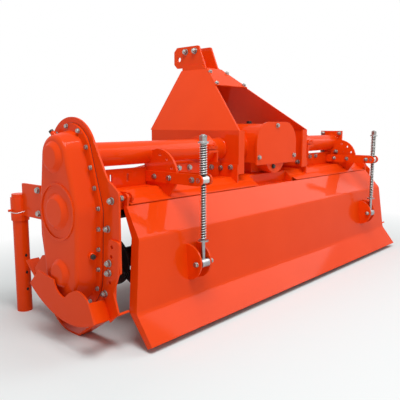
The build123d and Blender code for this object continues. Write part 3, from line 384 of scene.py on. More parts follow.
# Rod steel, darkened between the heights of the springs as painted shade where the coils cover the rods.
SHADED_ROD_STEEL = Finish(
    name="oiled_rod_steel", slot=Slot.ZINC, colour=(0.42, 0.42, 0.43),
    patch_colour=(0.30, 0.30, 0.305), edge_wear_highlight_colour=(0.55, 0.55, 0.55), edge_wear_highlight_share=0.5,
    roughness=0.30, rough_spread=0.12, patch_scale=60.0, grain_scale=800.0, bump=0.00005,
    band=(0.337, 0.690), shade_band_colour=(0.045, 0.043, 0.042),
)
ROTOR_STEEL = Finish(
    name="black_rotor_steel", slot=Slot.ROTOR, colour=(0.016, 0.016, 0.018),
    patch_colour=(0.034, 0.031, 0.029), edge_wear_highlight_colour=(0.26, 0.25, 0.24), edge_wear_highlight_share=0.7,
    roughness=0.50, rough_spread=0.2, metallic=0.5, specular=0.3, patch_scale=14.0,
    grain_scale=420.0, bump=0.00025, edge_radius=0.0015,
)
# Black of the plugs and the gasket, also used as painted shade in the stands' pin holes and for the dark tube in
# the top springs.
BLACK_PLUG_AND_SHADE = Finish(
    name="blackened_plug", slot=Slot.ROTOR, colour=(0.035, 0.033, 0.030),
    patch_colour=(0.060, 0.055, 0.048), edge_wear_highlight_colour=(0.22, 0.21, 0.20), edge_wear_highlight_share=0.6,
    roughness=0.42, rough_spread=0.12, metallic=0.7, patch_scale=120.0, grain_scale=900.0,
)
BRIGHT_STEEL = Finish(
    name="turned_steel", slot=Slot.BRIGHT, colour=(0.60, 0.60, 0.61),
    patch_colour=(0.50, 0.50, 0.50), edge_wear_highlight_colour=(0.75, 0.75, 0.75), edge_wear_highlight_share=0.4, roughness=0.26,
    rough_spread=0.1, patch_scale=40.0, grain_scale=700.0, bump=0.00005,
)
FINISHES = {finish.slot: finish for finish in (PAINT, ZINC, ROTOR_STEEL, BRIGHT_STEEL)}
ROD_NODES = ("left_rod", "right_rod")


class Bench:
    """The modelling bench: primitives, selections by a test, and modifiers applied at once."""

    HEX_SIDES: ClassVar[int] = 6
    ROUND_SIDES: ClassVar[int] = 28
    RING_STEPS: ClassVar[int] = 48
    WIRE_SIDES: ClassVar[int] = 10
    WIRE_ORDER: ClassVar[int] = 3
    WIRE_BEVEL: ClassVar[int] = 2
    WIRE_ANGLE: ClassVar[float] = 60.0
    FLAT: ClassVar[float] = 0.99  # part of a normal along an axis that counts as facing it
    NEAR: ClassVar[float] = 1e-5  # difference in height that counts as none
    ITEMS: ClassVar[dict[str, str]] = {"FACE": "polygons", "EDGE": "edges", "VERT": "vertices"}

    @staticmethod
    def mode(name: str) -> None:
        """Switches the active piece to edit or object mode."""
        bpy.ops.object.mode_set(mode=name)

    @classmethod
    def clear(cls) -> None:
        """Leaves edit mode and selects nothing."""
        if bpy.context.object is not None and bpy.context.object.mode != "OBJECT":
            cls.mode("OBJECT")
        bpy.ops.object.select_all(action="DESELECT")

    @classmethod
    def activate(cls, piece: Piece) -> None:
        """Selects one piece and makes it the active one.

        Args:
            piece: The piece.
        """
        cls.clear()
        piece.select_set(True)
        bpy.context.view_layer.objects.active = piece

    @staticmethod
    def placed(name: str) -> Piece:
        """Names a new primitive and puts its place into its mesh.

        Args:
            name: Its name.

        Returns:
            The primitive.
        """
        piece = bpy.context.object
        piece.name = name
        bpy.ops.object.transform_apply(location=True, rotation=True, scale=True)
        return piece

    @classmethod
    def modify(cls, piece: Piece, kind: str, **settings: object) -> None:
        """Adds a modifier and applies it at once.

        Args:
            piece: The piece.
            kind: Blender's name of the modifier.
            settings: Properties of the modifier.
        """
        cls.activate(piece)
        added = piece.modifiers.new(kind, kind)
        for name, value in settings.items():
            setattr(added, name, value)
        bpy.ops.object.modifier_apply(modifier=added.name)

    @classmethod
    def prism(cls, name: str, sides: int, radius: float, low: float, high: float) -> Piece:
        """Adds an upright prism about the Z axis.

        Args:
            name: Name of the piece.
            sides: Number of its sides.
            radius: Radius to its corners.
            low: Height of its lower face.
            high: Height of its upper face.

        Returns:
            The new piece, with its place in its mesh.
        """
        cls.clear()
        middle = (0.0, 0.0, (low + high) / 2)
        bpy.ops.mesh.primitive_cylinder_add(
            vertices=sides, radius=radius, depth=high - low, location=middle
        )
        return cls.placed(name)

    @classmethod
    def select(cls, piece: Piece, kind: str, test: Callable[[bpy.types.bpy_struct], bool]) -> None:
        """Enters edit mode with the faces, edges or points selected that pass a test.

        Args:
            piece: The piece to edit.
            kind: FACE, EDGE or VERT.
            test: Takes one of them and says whether it is wanted.
        """
        cls.activate(piece)
        cls.mode("EDIT")
        bpy.ops.mesh.select_mode(type=kind)
        bpy.ops.mesh.select_all(action="DESELECT")
        cls.mode("OBJECT")
        for item in getattr(piece.data, cls.ITEMS[kind]):
            item.select = test(item)
        cls.mode("EDIT")

    @classmethod
    def top_face(cls, piece: Piece) -> None:
        """Enters edit mode with the highest face selected that looks up."""
        top = max(f.center.z for f in piece.data.polygons if f.normal.z > cls.FLAT) - cls.NEAR
        cls.select(piece, "FACE", lambda f: f.normal.z > cls.FLAT and f.center.z > top)

    @classmethod
    def crown(cls, piece: Piece, inset: float, rise: float) -> None:
        """Draws the top face in and up, which leaves a chamfer round it.

        Args:
            piece: The piece.
            inset: How far the face is drawn in.
            rise: How far it is drawn up.
        """
        cls.top_face(piece)
        bpy.ops.mesh.inset(thickness=inset, depth=rise)
        cls.mode("OBJECT")

    @classmethod
    def grow(cls, piece: Piece, rise: float, share: float) -> None:
        """Extrudes the top face upwards and scales it about the piece's axis.

        Args:
            piece: The piece.
            rise: Height of the new part.
            share: Size of its top against its foot.
        """
        cls.top_face(piece)
        bpy.ops.mesh.extrude_region_move(TRANSFORM_OT_translate={"value": (0.0, 0.0, rise)})
        bpy.ops.transform.resize(value=(share, share, 1.0), center_override=(0.0, 0.0, 0.0))
        cls.mode("OBJECT")

    @classmethod
    def round_edges(cls, piece: Piece, width: float, segments: int = 2) -> None:
        """Rounds the sharp edges with a bevel."""
        cls.modify(piece, "BEVEL", width=width, segments=segments, limit_method="ANGLE")

    @classmethod
    def join(cls, pieces: Sequence[Piece], name: str) -> Piece:
        """Joins pieces into one.

        Args:
            pieces: The pieces, the first of which stays.
            name: Name of the joined piece.

        Returns:
            The joined piece.
        """
        cls.clear()
        for piece in pieces:
            piece.select_set(True)
        bpy.context.view_layer.objects.active = pieces[0]
        if len(pieces) > 1:
            bpy.ops.object.join()
        pieces[0].name = name
        pieces[0].data.name = name
        return pieces[0]

    @classmethod
    def smooth(cls, piece: Piece, degrees: float = 35.0) -> None:
        """Shades the piece smooth where its faces meet at less than an angle."""
        cls.activate(piece)
        bpy.ops.object.shade_smooth_by_angle(angle=math.radians(degrees))

    @classmethod
    def ring(cls, name: str, middle: Vector, turn: Triple, radius: float, wire: float) -> Piece:
        """Adds a round ring of wire.

        Args:
            name: Name of the ring.
            middle: Its middle.
            turn: Angles that turn it from lying flat.
            radius: Radius to the middle of the wire.
            wire: Thickness of the wire.

        Returns:
            The new ring, with its place in its mesh.
        """
        cls.clear()
        bpy.ops.mesh.primitive_torus_add(
            location=middle,
            rotation=turn,
            major_radius=radius,
            minor_radius=wire / 2,
            major_segments=cls.RING_STEPS,
            minor_segments=cls.WIRE_SIDES,
        )
        return cls.placed(name)

    @classmethod
    def wire(cls, name: str, points: Sequence[Vector], thickness: float) -> Piece:
        """Bends a stiff wire along a smooth line.

        Args:
            name: Name of the wire.
            points: Control points of the line, at least five.
            thickness: Thickness of the wire.

        Returns:
            The wire as a mesh with closed ends.
        """
        cls.clear()
        bpy.ops.curve.primitive_nurbs_path_add()
        piece = bpy.context.object
        piece.name = name
        spline = piece.data.splines[0]
        spline.points.add(len(points) - len(spline.points))
        for knot, place in zip(spline.points, points):
            knot.co = (*place, 1.0)
        spline.order_u = cls.WIRE_ORDER
        spline.use_endpoint_u = True
        piece.data.bevel_depth = thickness / 2
        piece.data.bevel_resolution = cls.WIRE_BEVEL
        piece.data.use_fill_caps = True
        bpy.ops.object.convert(target="MESH")
        return piece

    @staticmethod
    def copy_at(piece: Piece, place: Matrix) -> Piece:
        """Copies a piece with its own mesh.

        Args:
            piece: The piece that is copied.
            place: Where the copy goes, applied to its mesh.

        Returns:
            The copy.
        """
        twin = piece.copy()
        twin.data = piece.data.copy()
        twin.data.transform(place)
        bpy.context.scene.collection.objects.link(twin)
        return twin

    @staticmethod
    def finish(piece: Piece, finish: Finish, body: str = Body.FRAME.value) -> None:
        """Gives a piece its material and the body it rides on.

        Args:
            piece: The piece.
            finish: The finish that its material comes from.
            body: The body's name.
        """
        piece.data.materials.clear()
        piece.data.materials.append(finish.material())
        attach(piece, body)
        log.info("%s rides on %s, %d faces", piece.name, body, len(piece.data.polygons))


@dataclass(frozen=True)
class Datum:
    """The rotor axis, which the places of small pieces are measured from."""

    x: float  # middle plane of the machine in the frame
    y: float  # the rotor axis in the frame

    @classmethod
    def from_joint(cls, joint: str) -> "Datum":
        """Reads the datum from a joint on the rotor axis."""
        place = next(j["pos_m"] for j in frame["joints"] if j["name"] == joint)
        return cls(place[0], place[1])

    def at(self, x: float, y: float, z: float) -> Vector:
        """A point given from the middle plane, the rotor axis and the floor."""
        return Vector((self.x + x, self.y + y, z))


DATUM = Datum.from_joint("rotor_spin")


@dataclass(frozen=True)
class Seat:
    """A place on the surface of a node."""

    point: Vector
    normal: Vector  # direction out of the surface

    @classmethod
    def on(cls, node: str, start: Vector, way: Vector) -> "Seat":
        """Finds where a line meets a node.

        Args:
            node: Name of the CAD node.
            start: A point outside it.
            way: Direction of the line.

        Returns:
            The place where it first meets the node.
        """
        hit, point, normal, _ = frame["nodes"][node].ray_cast(start, way.normalized())
        if not hit:
            raise ValueError(f"nothing of {node} is met from {tuple(start)} along {tuple(way)}")
        return cls(point, normal if normal.dot(way) < 0 else -normal)

    @classmethod
    def across(cls, node: str, x: float, way: Vector, places: Iterable[Pair]) -> list["Seat"]:
        """Seats met from one plane across the machine, by forward offset and height."""
        return [cls.on(node, DATUM.at(x, y, z), way) for y, z in places]

    @classmethod
    def along(cls, node: str, y: float, way: Vector, places: Iterable[Pair]) -> list["Seat"]:
        """Seats met from one plane along the machine, by offset from the middle and height."""
        return [cls.on(node, DATUM.at(x, y, z), way) for x, z in places]

    def raised(self, rise: float) -> "Seat":
        """The same seat, moved out of the surface."""
        return Seat(self.point + rise * self.normal, self.normal)

    def place(self, spin: float = 0.0) -> Matrix:
        """Matrix that stands a piece on the seat, turned about its own axis."""
        turn = self.normal.to_track_quat("Z", "Y").to_matrix().to_4x4()
        return Matrix.Translation(self.point) @ turn @ Matrix.Rotation(spin, 4, "Z")


class Fasteners:
    """Hexagon bolts and nuts, each size modelled once and copied."""

    WASHER_SIDES: ClassVar[int] = 20
    STUD_SIDES: ClassVar[int] = 10
    # Sizes as shares of the width over the flats.
    WASHER_R: ClassVar[float] = 0.66
    WASHER_T: ClassVar[float] = 0.14
    HEAD_H: ClassVar[float] = 0.44
    NUT_H: ClassVar[float] = 0.55
    CHAMFER: ClassVar[float] = 0.06
    STUD_R: ClassVar[float] = 0.30
    PITCH: ClassVar[float] = 0.09
    TURNS: ClassVar[int] = 2
    ROOT_SHARE: ClassVar[float] = 0.86  # a thread's root radius against its crest
    SPIN_STEP: ClassVar[float] = 0.61  # turn from one fastener of a row to the next

    def __init__(self) -> None:
        """Starts with no models."""
        self.models: dict[tuple[Thread, Form], Piece] = {}

    def model(self, size: Thread, form: Form) -> Piece:
        """The model of one size and form, made on first use.

        Args:
            size: Its thread.
            form: Bolt head, nut or bare hexagon.

        Returns:
            The model, standing on its washer at the origin.
        """
        key = (size, form)
        if key not in self.models:
            self.models[key] = self._make(size.value, form)
        return self.models[key]

    def _make(self, flats: float, form: Form) -> Piece:
        """Models a fastener.

        Args:
            flats: Width over its flats.
            form: Bolt head, nut or bare hexagon.

        Returns:
            The model.
        """
        washer_top = 0.0 if form is Form.PLAIN else self.WASHER_T * flats
        height = self.NUT_H if form is Form.NUT else self.HEAD_H
        chamfer = self.CHAMFER * flats
        top = washer_top + height * flats - chamfer
        hexagon = Bench.prism("hexagon", Bench.HEX_SIDES, flats / math.sqrt(3), washer_top, top)
        Bench.crown(hexagon, chamfer, chamfer)
        parts = [hexagon]
        if form is not Form.PLAIN:
            radius = self.WASHER_R * flats
            washer = Bench.prism("washer", self.WASHER_SIDES, radius, 0.0, washer_top)
            Bench.crown(washer, chamfer / 2, 0.0)
            Bench.round_edges(washer, chamfer / 3, 1)
            parts.append(washer)
        if form is Form.NUT:
            parts.append(self._stud(flats, top))
        return Bench.join(parts, f"fastener_{form.value}")

    def _stud(self, flats: float, low: float) -> Piece:
        """Models a threaded end by growing ridges upwards from a short prism.

        Args:
            flats: Width of the nut over its flats.
            low: Height at which the end starts.

        Returns:
            The threaded end.
        """
        pitch = self.PITCH * flats
        stud = Bench.prism("stud", self.STUD_SIDES, self.STUD_R * flats, low, low + pitch)
        for _ in range(self.TURNS):
            Bench.grow(stud, pitch / 2, self.ROOT_SHARE)
            Bench.grow(stud, pitch / 2, 1 / self.ROOT_SHARE)
        Bench.crown(stud, self.CHAMFER * flats / 2, self.CHAMFER * flats / 2)
        return stud

    def clear_away(self) -> None:
        """Removes the models once all copies are made."""
        for piece in self.models.values():
            bpy.data.objects.remove(piece)
        self.models.clear()


SHOP = Fasteners()


def axis_point(low: Vector, high: Vector, z: float = 0.0) -> Vector:
    """A point on the upright axis of a box."""
    return Vector(((low.x + high.x) / 2, (low.y + high.y) / 2, z))


def circle(count: int, radius: float, height: float, first: float = 0.0) -> list[Pair]:
    """Places at even steps round a circle, the first one a share of a step on."""
    turns = [2 * math.pi * (i + first) / count for i in range(count)]
    return [(radius * math.cos(t), height + radius * math.sin(t)) for t in turns]


class SubAssembly:
    """Base of the dressed sub-assemblies: builds its pieces in order."""

    def build(self) -> None:
        """Builds and dresses every piece of the sub-assembly."""
        raise NotImplementedError

    @staticmethod
    def bolts(
        name: str,
        size: Thread,
        form: Form,
        seats: Iterable[Seat],
        body: Body = Body.FRAME,
        finish: Finish = SHADED_BOLT_ZINC,
    ) -> None:
        """Copies a fastener to its seats and joins the copies to a piece that rides on a body.

        Args:
            name: Name of the joined fasteners.
            size: Their thread.
            form: Heads, nuts or bare hexagons.
            seats: Where they stand.
            body: The body they ride on.
            finish: Their finish.
        """
        model = SHOP.model(size, form)
        places = [seat.place(i * SHOP.SPIN_STEP) for i, seat in enumerate(seats)]
        joined = Bench.join([Bench.copy_at(model, place) for place in places], name)
        Bench.finish(joined, finish, body.value)


@dataclass
class GearCaseDress(SubAssembly):
    """Bolts, gasket and plugs of the side gear case."""

    # The three shafts as forward offset from the rotor and height.
    axes: Pairs = ((TUBE_Y, TUBE_Z), (0.004, 0.463), (0.0, AXIS_Z))
    # Radius of the bolt line round each shaft.
    bolt_radii: tuple[float, ...] = (0.103, 0.141, 0.126)
    # Radius of the flange's rim round each shaft.
    rim_radii: tuple[float, ...] = (0.114, 0.152, 0.136)
    bolt_count: int = 22
    first_turn: float = 84.0  # direction of the first bolt, in degrees from forward
    gasket_lip: float = 0.0007  # how far the gasket stands out of the joint
    gasket_x: Pair = (-1.0895, -1.0880)  # the two faces of the gasket
    level_plug: Pair = (-1.1125, 0.3195)
    breather_x: float = -1.110  # place of the breather across the case
    # Direction in which the breather points into the case.
    breather_way: Triple = (0.0, -0.68, -0.73)
    level_boss: Pair = (0.0125, 0.009)  # radius and height of the level plug's boss
    breather_boss: Pair = (0.0095, 0.026)  # radius and height of the breather's neck
    samples: int = 720  # steps round the bolt line
    disc_sides: int = 96
    shoulder: float = 0.7  # share of a boss below its chamfer
    boss_edge: float = 1 / 6  # share of its radius that the chamfer takes

    def _line(self) -> list[Vector]:
        """Outline round the three circles, by their furthest point each way.

        Returns:
            Points of the bolt line.
        """
        points = []
        for i in range(self.samples):
            turn = math.radians(self.first_turn) + 2 * math.pi * i / self.samples
            way = Vector((math.cos(turn), math.sin(turn)))
            reach = [Vector(axis).dot(way) + r for axis, r in zip(self.axes, self.bolt_radii)]
            best = reach.index(max(reach))
            points.append(Vector(self.axes[best]) + self.bolt_radii[best] * way)
        return points

    def _spread(self) -> list[Vector]:
        """Walks along the closed bolt line.

        Returns:
            Points at even steps along it.
        """
        line = self._line()
        ends = line[1:] + line[:1]
        lengths = [(b - a).length for a, b in zip(line, ends)]
        step = sum(lengths) / self.bolt_count
        found: list[Vector] = []
        walked = 0.0
        for a, b, length in zip(line, ends, lengths):
            while len(found) < self.bolt_count and len(found) * step <= walked + length:
                share = (len(found) * step - walked) / length if length > 0 else 0.0
                found.append(a.lerp(b, share))
            walked += length
        return found

    def _gasket(self) -> None:
        """Models the gasket as the hull of three discs, one round each shaft."""
        low, high = self.gasket_x
        discs = []
        for (y, z), radius in zip(self.axes, self.rim_radii):
            disc = Bench.prism("disc", self.disc_sides, radius + self.gasket_lip, 0.0, high - low)
            disc.data.transform(Seat(DATUM.at(low, y, z), RIGHT).place())
            discs.append(disc)
        gasket = Bench.join(discs, "case_gasket")
        Bench.mode("EDIT")
        bpy.ops.mesh.select_all(action="SELECT")
        bpy.ops.mesh.convex_hull()
        Bench.mode("OBJECT")
        Bench.smooth(gasket)
        Bench.finish(gasket, BLACK_PLUG_AND_SHADE)

    def _plug(self, name: str, seat: Seat, radius: float, height: float) -> None:
        """Models a painted boss with a black plug in it.

        Args:
            name: First part of both names.
            seat: Where the boss stands.
            radius: Radius of the boss.
            height: Height of the boss.
        """
        low, edge = -height / 2, height * self.shoulder
        boss = Bench.prism(f"{name}_boss", Bench.ROUND_SIDES, radius, low, edge)
        Bench.crown(boss, radius * self.boss_edge, height - edge)
        boss.data.transform(seat.place())
        Bench.smooth(boss)
        Bench.finish(boss, PAINT)
        self.bolts(f"{name}_plug", Thread.M10, Form.PLAIN, [seat.raised(height)], finish=BLACK_PLUG_AND_SHADE)

    def build(self) -> None:
        """Sets out the flange bolts, the gasket, the level plug and the breather."""
        seats = Seat.across("gear_case", -OUT, RIGHT, self._spread())
        self.bolts("case_flange_bolts", Thread.M8, Form.HEAD, seats)
        self._gasket()
        [level] = Seat.along("gear_case", -OUT, FORWARD, [self.level_plug])
        self._plug("level", level, *self.level_boss)
        way = Vector(self.breather_way)
        top = DATUM.at(self.breather_x, *self.axes[0]) - OUT * way
        self._plug("breather", Seat.on("gear_case", top, way), *self.breather_boss)


@dataclass
class WallDress(SubAssembly):
    """Bolts of the side walls, the skids, the rotor bearing and the board's hinge."""

    # Places on the left wall, as forward offset and height.
    wall_bolts: Pairs = ((-0.194, 0.511), (-0.170, 0.416))
    # Places on the left skid's strap.
    strap_bolts: Pairs = ((-0.182, 0.304), (-0.180, 0.271), (-0.157, 0.195))
    right_shift: float = 0.078  # how much further forward the right strap sits
    right_count: int = 2  # bolts of the right strap, from the top
    bearing_ring: float = 0.047  # radius of the bearing's bolt circle
    bearing_count: int = 6
    hinge: Pair = (-0.1155, 0.501)  # place of the board's hinge pins
    hinge_out: float = 1.04  # distance across the machine from which the pins are met

    def build(self) -> None:
        """Sets out the bolts of both sides."""
        wall = Seat.across("left_wall", -OUT, RIGHT, self.wall_bolts)
        self.bolts("left_wall_bolts", Thread.M12, Form.NUT, wall)
        left = Seat.across("left_skid", -OUT, RIGHT, self.strap_bolts)
        self.bolts("left_strap_bolts", Thread.M12, Form.NUT, left)
        shifted = [(y + self.right_shift, z) for y, z in self.strap_bolts[: self.right_count]]
        right = Seat.across("right_skid", OUT, LEFT, shifted)
        self.bolts("right_strap_bolts", Thread.M12, Form.NUT, right)
        ring = circle(self.bearing_count, self.bearing_ring, AXIS_Z)
        self.bolts("bearing_bolts", Thread.M8, Form.HEAD, Seat.across("bearing", OUT, LEFT, ring))
        pins = []
        for _, sign, way in SIDES:
            pins += Seat.across("hood", sign * self.hinge_out, way, [self.hinge])
        self.bolts("hinge_pin_heads", Thread.M10, Form.HEAD, pins)


@dataclass
class StandDress(SubAssembly):
    """Bracket bolts, linch pins and pin holes of the two parking stands."""

    bolts_at: Pairs = ((0.249, 0.508), (0.249, 0.418))  # bracket bolts as forward offset and height
    pin_z: float = 0.418
    # Points of the linch pin's wire bail from the stand's axis, for the left side.
    bail: tuple[Triple, ...] = (
        (-0.043, 0.0, 0.0),
        (-0.046, 0.0, -0.001),
        (-0.0465, -0.020, -0.006),
        (-0.032, -0.042, -0.008),
        (0.000, -0.048, 0.000),
        (0.030, -0.041, 0.010),
        (0.045, -0.020, 0.013),
        (0.046, -0.002, 0.006),
        (0.043, 0.0, 0.0),
    )
    bail_wire: float = 0.0036
    ring_r: float = 0.009
    hole_z: tuple[float, ...] = (0.094, 0.164, 0.234)
    hole_r: float = 0.0065
    hole_sides: int = 20
    hole_cuts: int = 2
    lip: float = 0.00015  # how far a pin hole's face stands off the leg
    sink: float = 0.0012  # how deep a pin hole's edge goes into the leg

    def _linch_pin(self, side: str, sign: int, middle: Vector) -> None:
        """Bends the wire bail round the sleeve and hangs the pull ring on it.

        Args:
            side: Name of the side.
            sign: Its sign across the machine.
            middle: Middle of the pin.
        """
        points = [middle + Vector((-sign * x, y, z)) for x, y, z in self.bail]
        bail = Bench.wire("bail", points, self.bail_wire)
        hang = points[-2] - Vector((0.0, 0.0, self.ring_r))
        ring = Bench.ring("ring", hang, (0.0, math.pi / 2, 0.0), self.ring_r, self.bail_wire)
        piece = Bench.join([bail, ring], f"{side}_linch_pin")
        Bench.smooth(piece, Bench.WIRE_ANGLE)
        Bench.finish(piece, ZINC)

    def _pin_hole(self, side: str, axis: Vector, z: float) -> Piece:
        """Models one pin hole as a black disc of painted shade, wrapped on the leg's rear side and let into it.

        Args:
            side: Name of the side.
            axis: A point on the leg's axis.
            z: Height of the hole.

        Returns:
            The disc.
        """
        leg = f"{side}_stand_leg"
        seat = Seat.on(leg, Vector((axis.x, axis.y - OUT, z)), FORWARD)
        Bench.clear()
        bpy.ops.mesh.primitive_circle_add(
            vertices=self.hole_sides,
            radius=self.hole_r,
            fill_type="TRIFAN",
            location=seat.point - self.hole_r * FORWARD,
            rotation=(math.pi / 2, 0.0, 0.0),
        )
        disc = Bench.placed("hole")
        Bench.mode("EDIT")
        bpy.ops.mesh.subdivide(number_cuts=self.hole_cuts)
        Bench.mode("OBJECT")
        Bench.modify(disc, "SHRINKWRAP", target=frame["nodes"][leg], offset=self.lip)
        Bench.modify(disc, "SOLIDIFY", thickness=self.sink)
        return disc

    def _pin_holes(self, side: str, axis: Vector) -> None:
        """Models the pin holes on the leg's rear side as discs of painted shade."""
        holes = [self._pin_hole(side, axis, z) for z in self.hole_z]
        Bench.finish(Bench.join(holes, f"{side}_leg_holes"), BLACK_PLUG_AND_SHADE, f"{side}_stand")

    def build(self) -> None:
        """Builds both stands' small pieces."""
        for side, sign, way in SIDES:
            low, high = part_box(f"{side}_stand_leg")
            axis = (low + high) / 2
            seats = Seat.across(f"{side}_stand_bracket", sign * OUT, way, self.bolts_at)
            self.bolts(f"{side}_bracket_bolts", Thread.M12, Form.HEAD, seats)
            self._linch_pin(side, sign, Vector((axis.x, axis.y, self.pin_z)))
            self._pin_holes(side, axis)


@dataclass
class MastDress(SubAssembly):
    """Bolts of the mast, its foot plates, the webs, the hatch and the ears."""

    # Places on the foot plates, as forward offset and height.
    foot_bolts: Pairs = ((-0.058, 0.563), (0.0, 0.558), (0.201, 0.552), (0.271, 0.552))
    # Places on the rear face of the webs, as distance from the middle and height.
    web_bolts: Pairs = ((0.364, 0.565), (0.508, 0.573), (0.573, 0.574))
    ear_bolts: Pairs = ((0.451, 1.138), (0.386, 1.138))
    # Places on the inner faces of the mast's sides.
    inner_bolts: Pairs = ((-0.050, 0.556), (0.060, 0.556))
    inner_out: float = 0.25  # distance from the middle from which the inner bolts are met
    # Places on the hatch, as distance from the middle and height.
    hatch_bolts: Pairs = ((0.068, 1.019), (0.112, 0.955))
    hatch_way: Triple = (0.0, 0.62, -0.78)  # direction into the hatch

    def build(self) -> None:
        """Sets out the bolts on both sides of the mast."""
        feet, webs, ears, inner = [], [], [], []
        for side, sign, way in SIDES:
            feet += Seat.across(f"{side}_foot", sign * OUT, way, self.foot_bolts)
            places = [(sign * x, z) for x, z in self.web_bolts]
            webs += Seat.along(f"{side}_web", -OUT, FORWARD, places)
            ears += Seat.across(f"{side}_ear", sign * OUT, way, self.ear_bolts)
            inner += Seat.across(f"mast_{side}", sign * self.inner_out, -way, self.inner_bolts)
        self.bolts("foot_bolts", Thread.M12, Form.HEAD, feet)
        self.bolts("web_bolts", Thread.M12, Form.HEAD, webs)
        self.bolts("ear_bolts", Thread.M16, Form.NUT, ears)
        self.bolts("mast_inner_nuts", Thread.M12, Form.NUT, inner)
        self._hatch()

    def _hatch(self) -> None:
        """Sets out the four bolts of the sloping hatch."""
        way = Vector(self.hatch_way)
        low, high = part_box("mast_hatch")
        seats = []
        for x, z in self.hatch_bolts:
            y = low.y + (high.y - low.y) * (z - low.z) / (high.z - low.z)
            for _, sign, _ in SIDES:
                seats.append(Seat.on("mast_hatch", Vector((DATUM.x + sign * x, y, z)) - way, way))
        self.bolts("hatch_bolts", Thread.M10, Form.HEAD, seats)


@dataclass
class GearboxDress(SubAssembly):
    """Cover bolts, nose bolts and plugs of the bevel gearbox."""

    # Places on the cover, as offset from the middle and height.
    cover_bolts: Pairs = ((-0.153, 0.603), (0.149, 0.601), (-0.004, 0.750))
    drain: Pair = (-0.020, 0.553)
    # Place of the filler plug on top, as offset from the middle and forward offset.
    filler: Pair = (0.060, 0.110)
    nose_ring: float = 0.047  # radius of the bolt circle on the nose
    nose_count: int = 6
    nose_first: float = 0.5  # share of a step at which the first nose bolt stands

    def build(self) -> None:
        """Sets out the bolts of the cover and the nose, and both plugs."""
        cover = Seat.along("gearbox_cover", -OUT, FORWARD, self.cover_bolts)
        self.bolts("cover_bolts", Thread.M10, Form.HEAD, cover)
        drain = Seat.along("gearbox", -OUT, FORWARD, [self.drain])
        self.bolts("drain_plug", Thread.M10, Form.HEAD, drain, finish=BLACK_PLUG_AND_SHADE)
        top = [Seat.on("gearbox", DATUM.at(*self.filler, OUT), DOWN)]
        self.bolts("filler_plug", Thread.M16, Form.HEAD, top, finish=BLACK_PLUG_AND_SHADE)
        ring = circle(self.nose_count, self.nose_ring, TUBE_Z, self.nose_first)
        self.bolts("nose_bolts", Thread.M8, Form.HEAD, Seat.along("gearbox", OUT, REAR, ring))


@dataclass
class ArmDress(SubAssembly):
    """Bolts of the rod arms, the tube end flange and the clamps."""

    arm_bolts_y: tuple[float, ...] = (-0.047, -0.127, -0.245)  # places along the arms
    arm_z: float = 0.556
    arm_inside: float = 0.55  # distance from the middle from which the inner ends are met
    flange_half: float = 0.054  # half the side of the tube end flange's bolt square
    flange_inside: float = 0.74  # distance from the middle from which its inner side is met
    clamp_x: Pair = (0.400, 0.430)  # places of the clamp bolts along the tube
    clamp_y: float = 0.064  # half the distance between the clamp bolts

    def build(self) -> None:
        """Sets out the bolts of both arms and of the main tube."""
        heads, nuts, clamps = [], [], []
        places = [(y, self.arm_z) for y in self.arm_bolts_y]
        for side, sign, way in SIDES:
            heads += Seat.across(f"{side}_arm", sign * OUT, way, places)
            nuts += Seat.across(f"{side}_arm", sign * self.arm_inside, -way, places)
            for x in self.clamp_x:
                for half in (-self.clamp_y, self.clamp_y):
                    start = DATUM.at(sign * x, TUBE_Y + half, OUT)
                    clamps.append(Seat.on(f"{side}_saddle", start, DOWN))
        self.bolts("arm_bolts", Thread.M10, Form.HEAD, heads)
        self.bolts("arm_nuts", Thread.M10, Form.NUT, nuts)
        self.bolts("clamp_bolts", Thread.M10, Form.HEAD, clamps, finish=PAINT)
        ends = (-self.flange_half, self.flange_half)
        corners = [(TUBE_Y + y, TUBE_Z + z) for y in ends for z in ends]
        outer = Seat.across("right_tube", OUT, LEFT, corners)
        self.bolts("tube_end_bolts", Thread.M12, Form.HEAD, outer)
        inner = Seat.across("right_tube", self.flange_inside, RIGHT, corners)
        self.bolts("tube_end_nuts", Thread.M12, Form.NUT, inner)


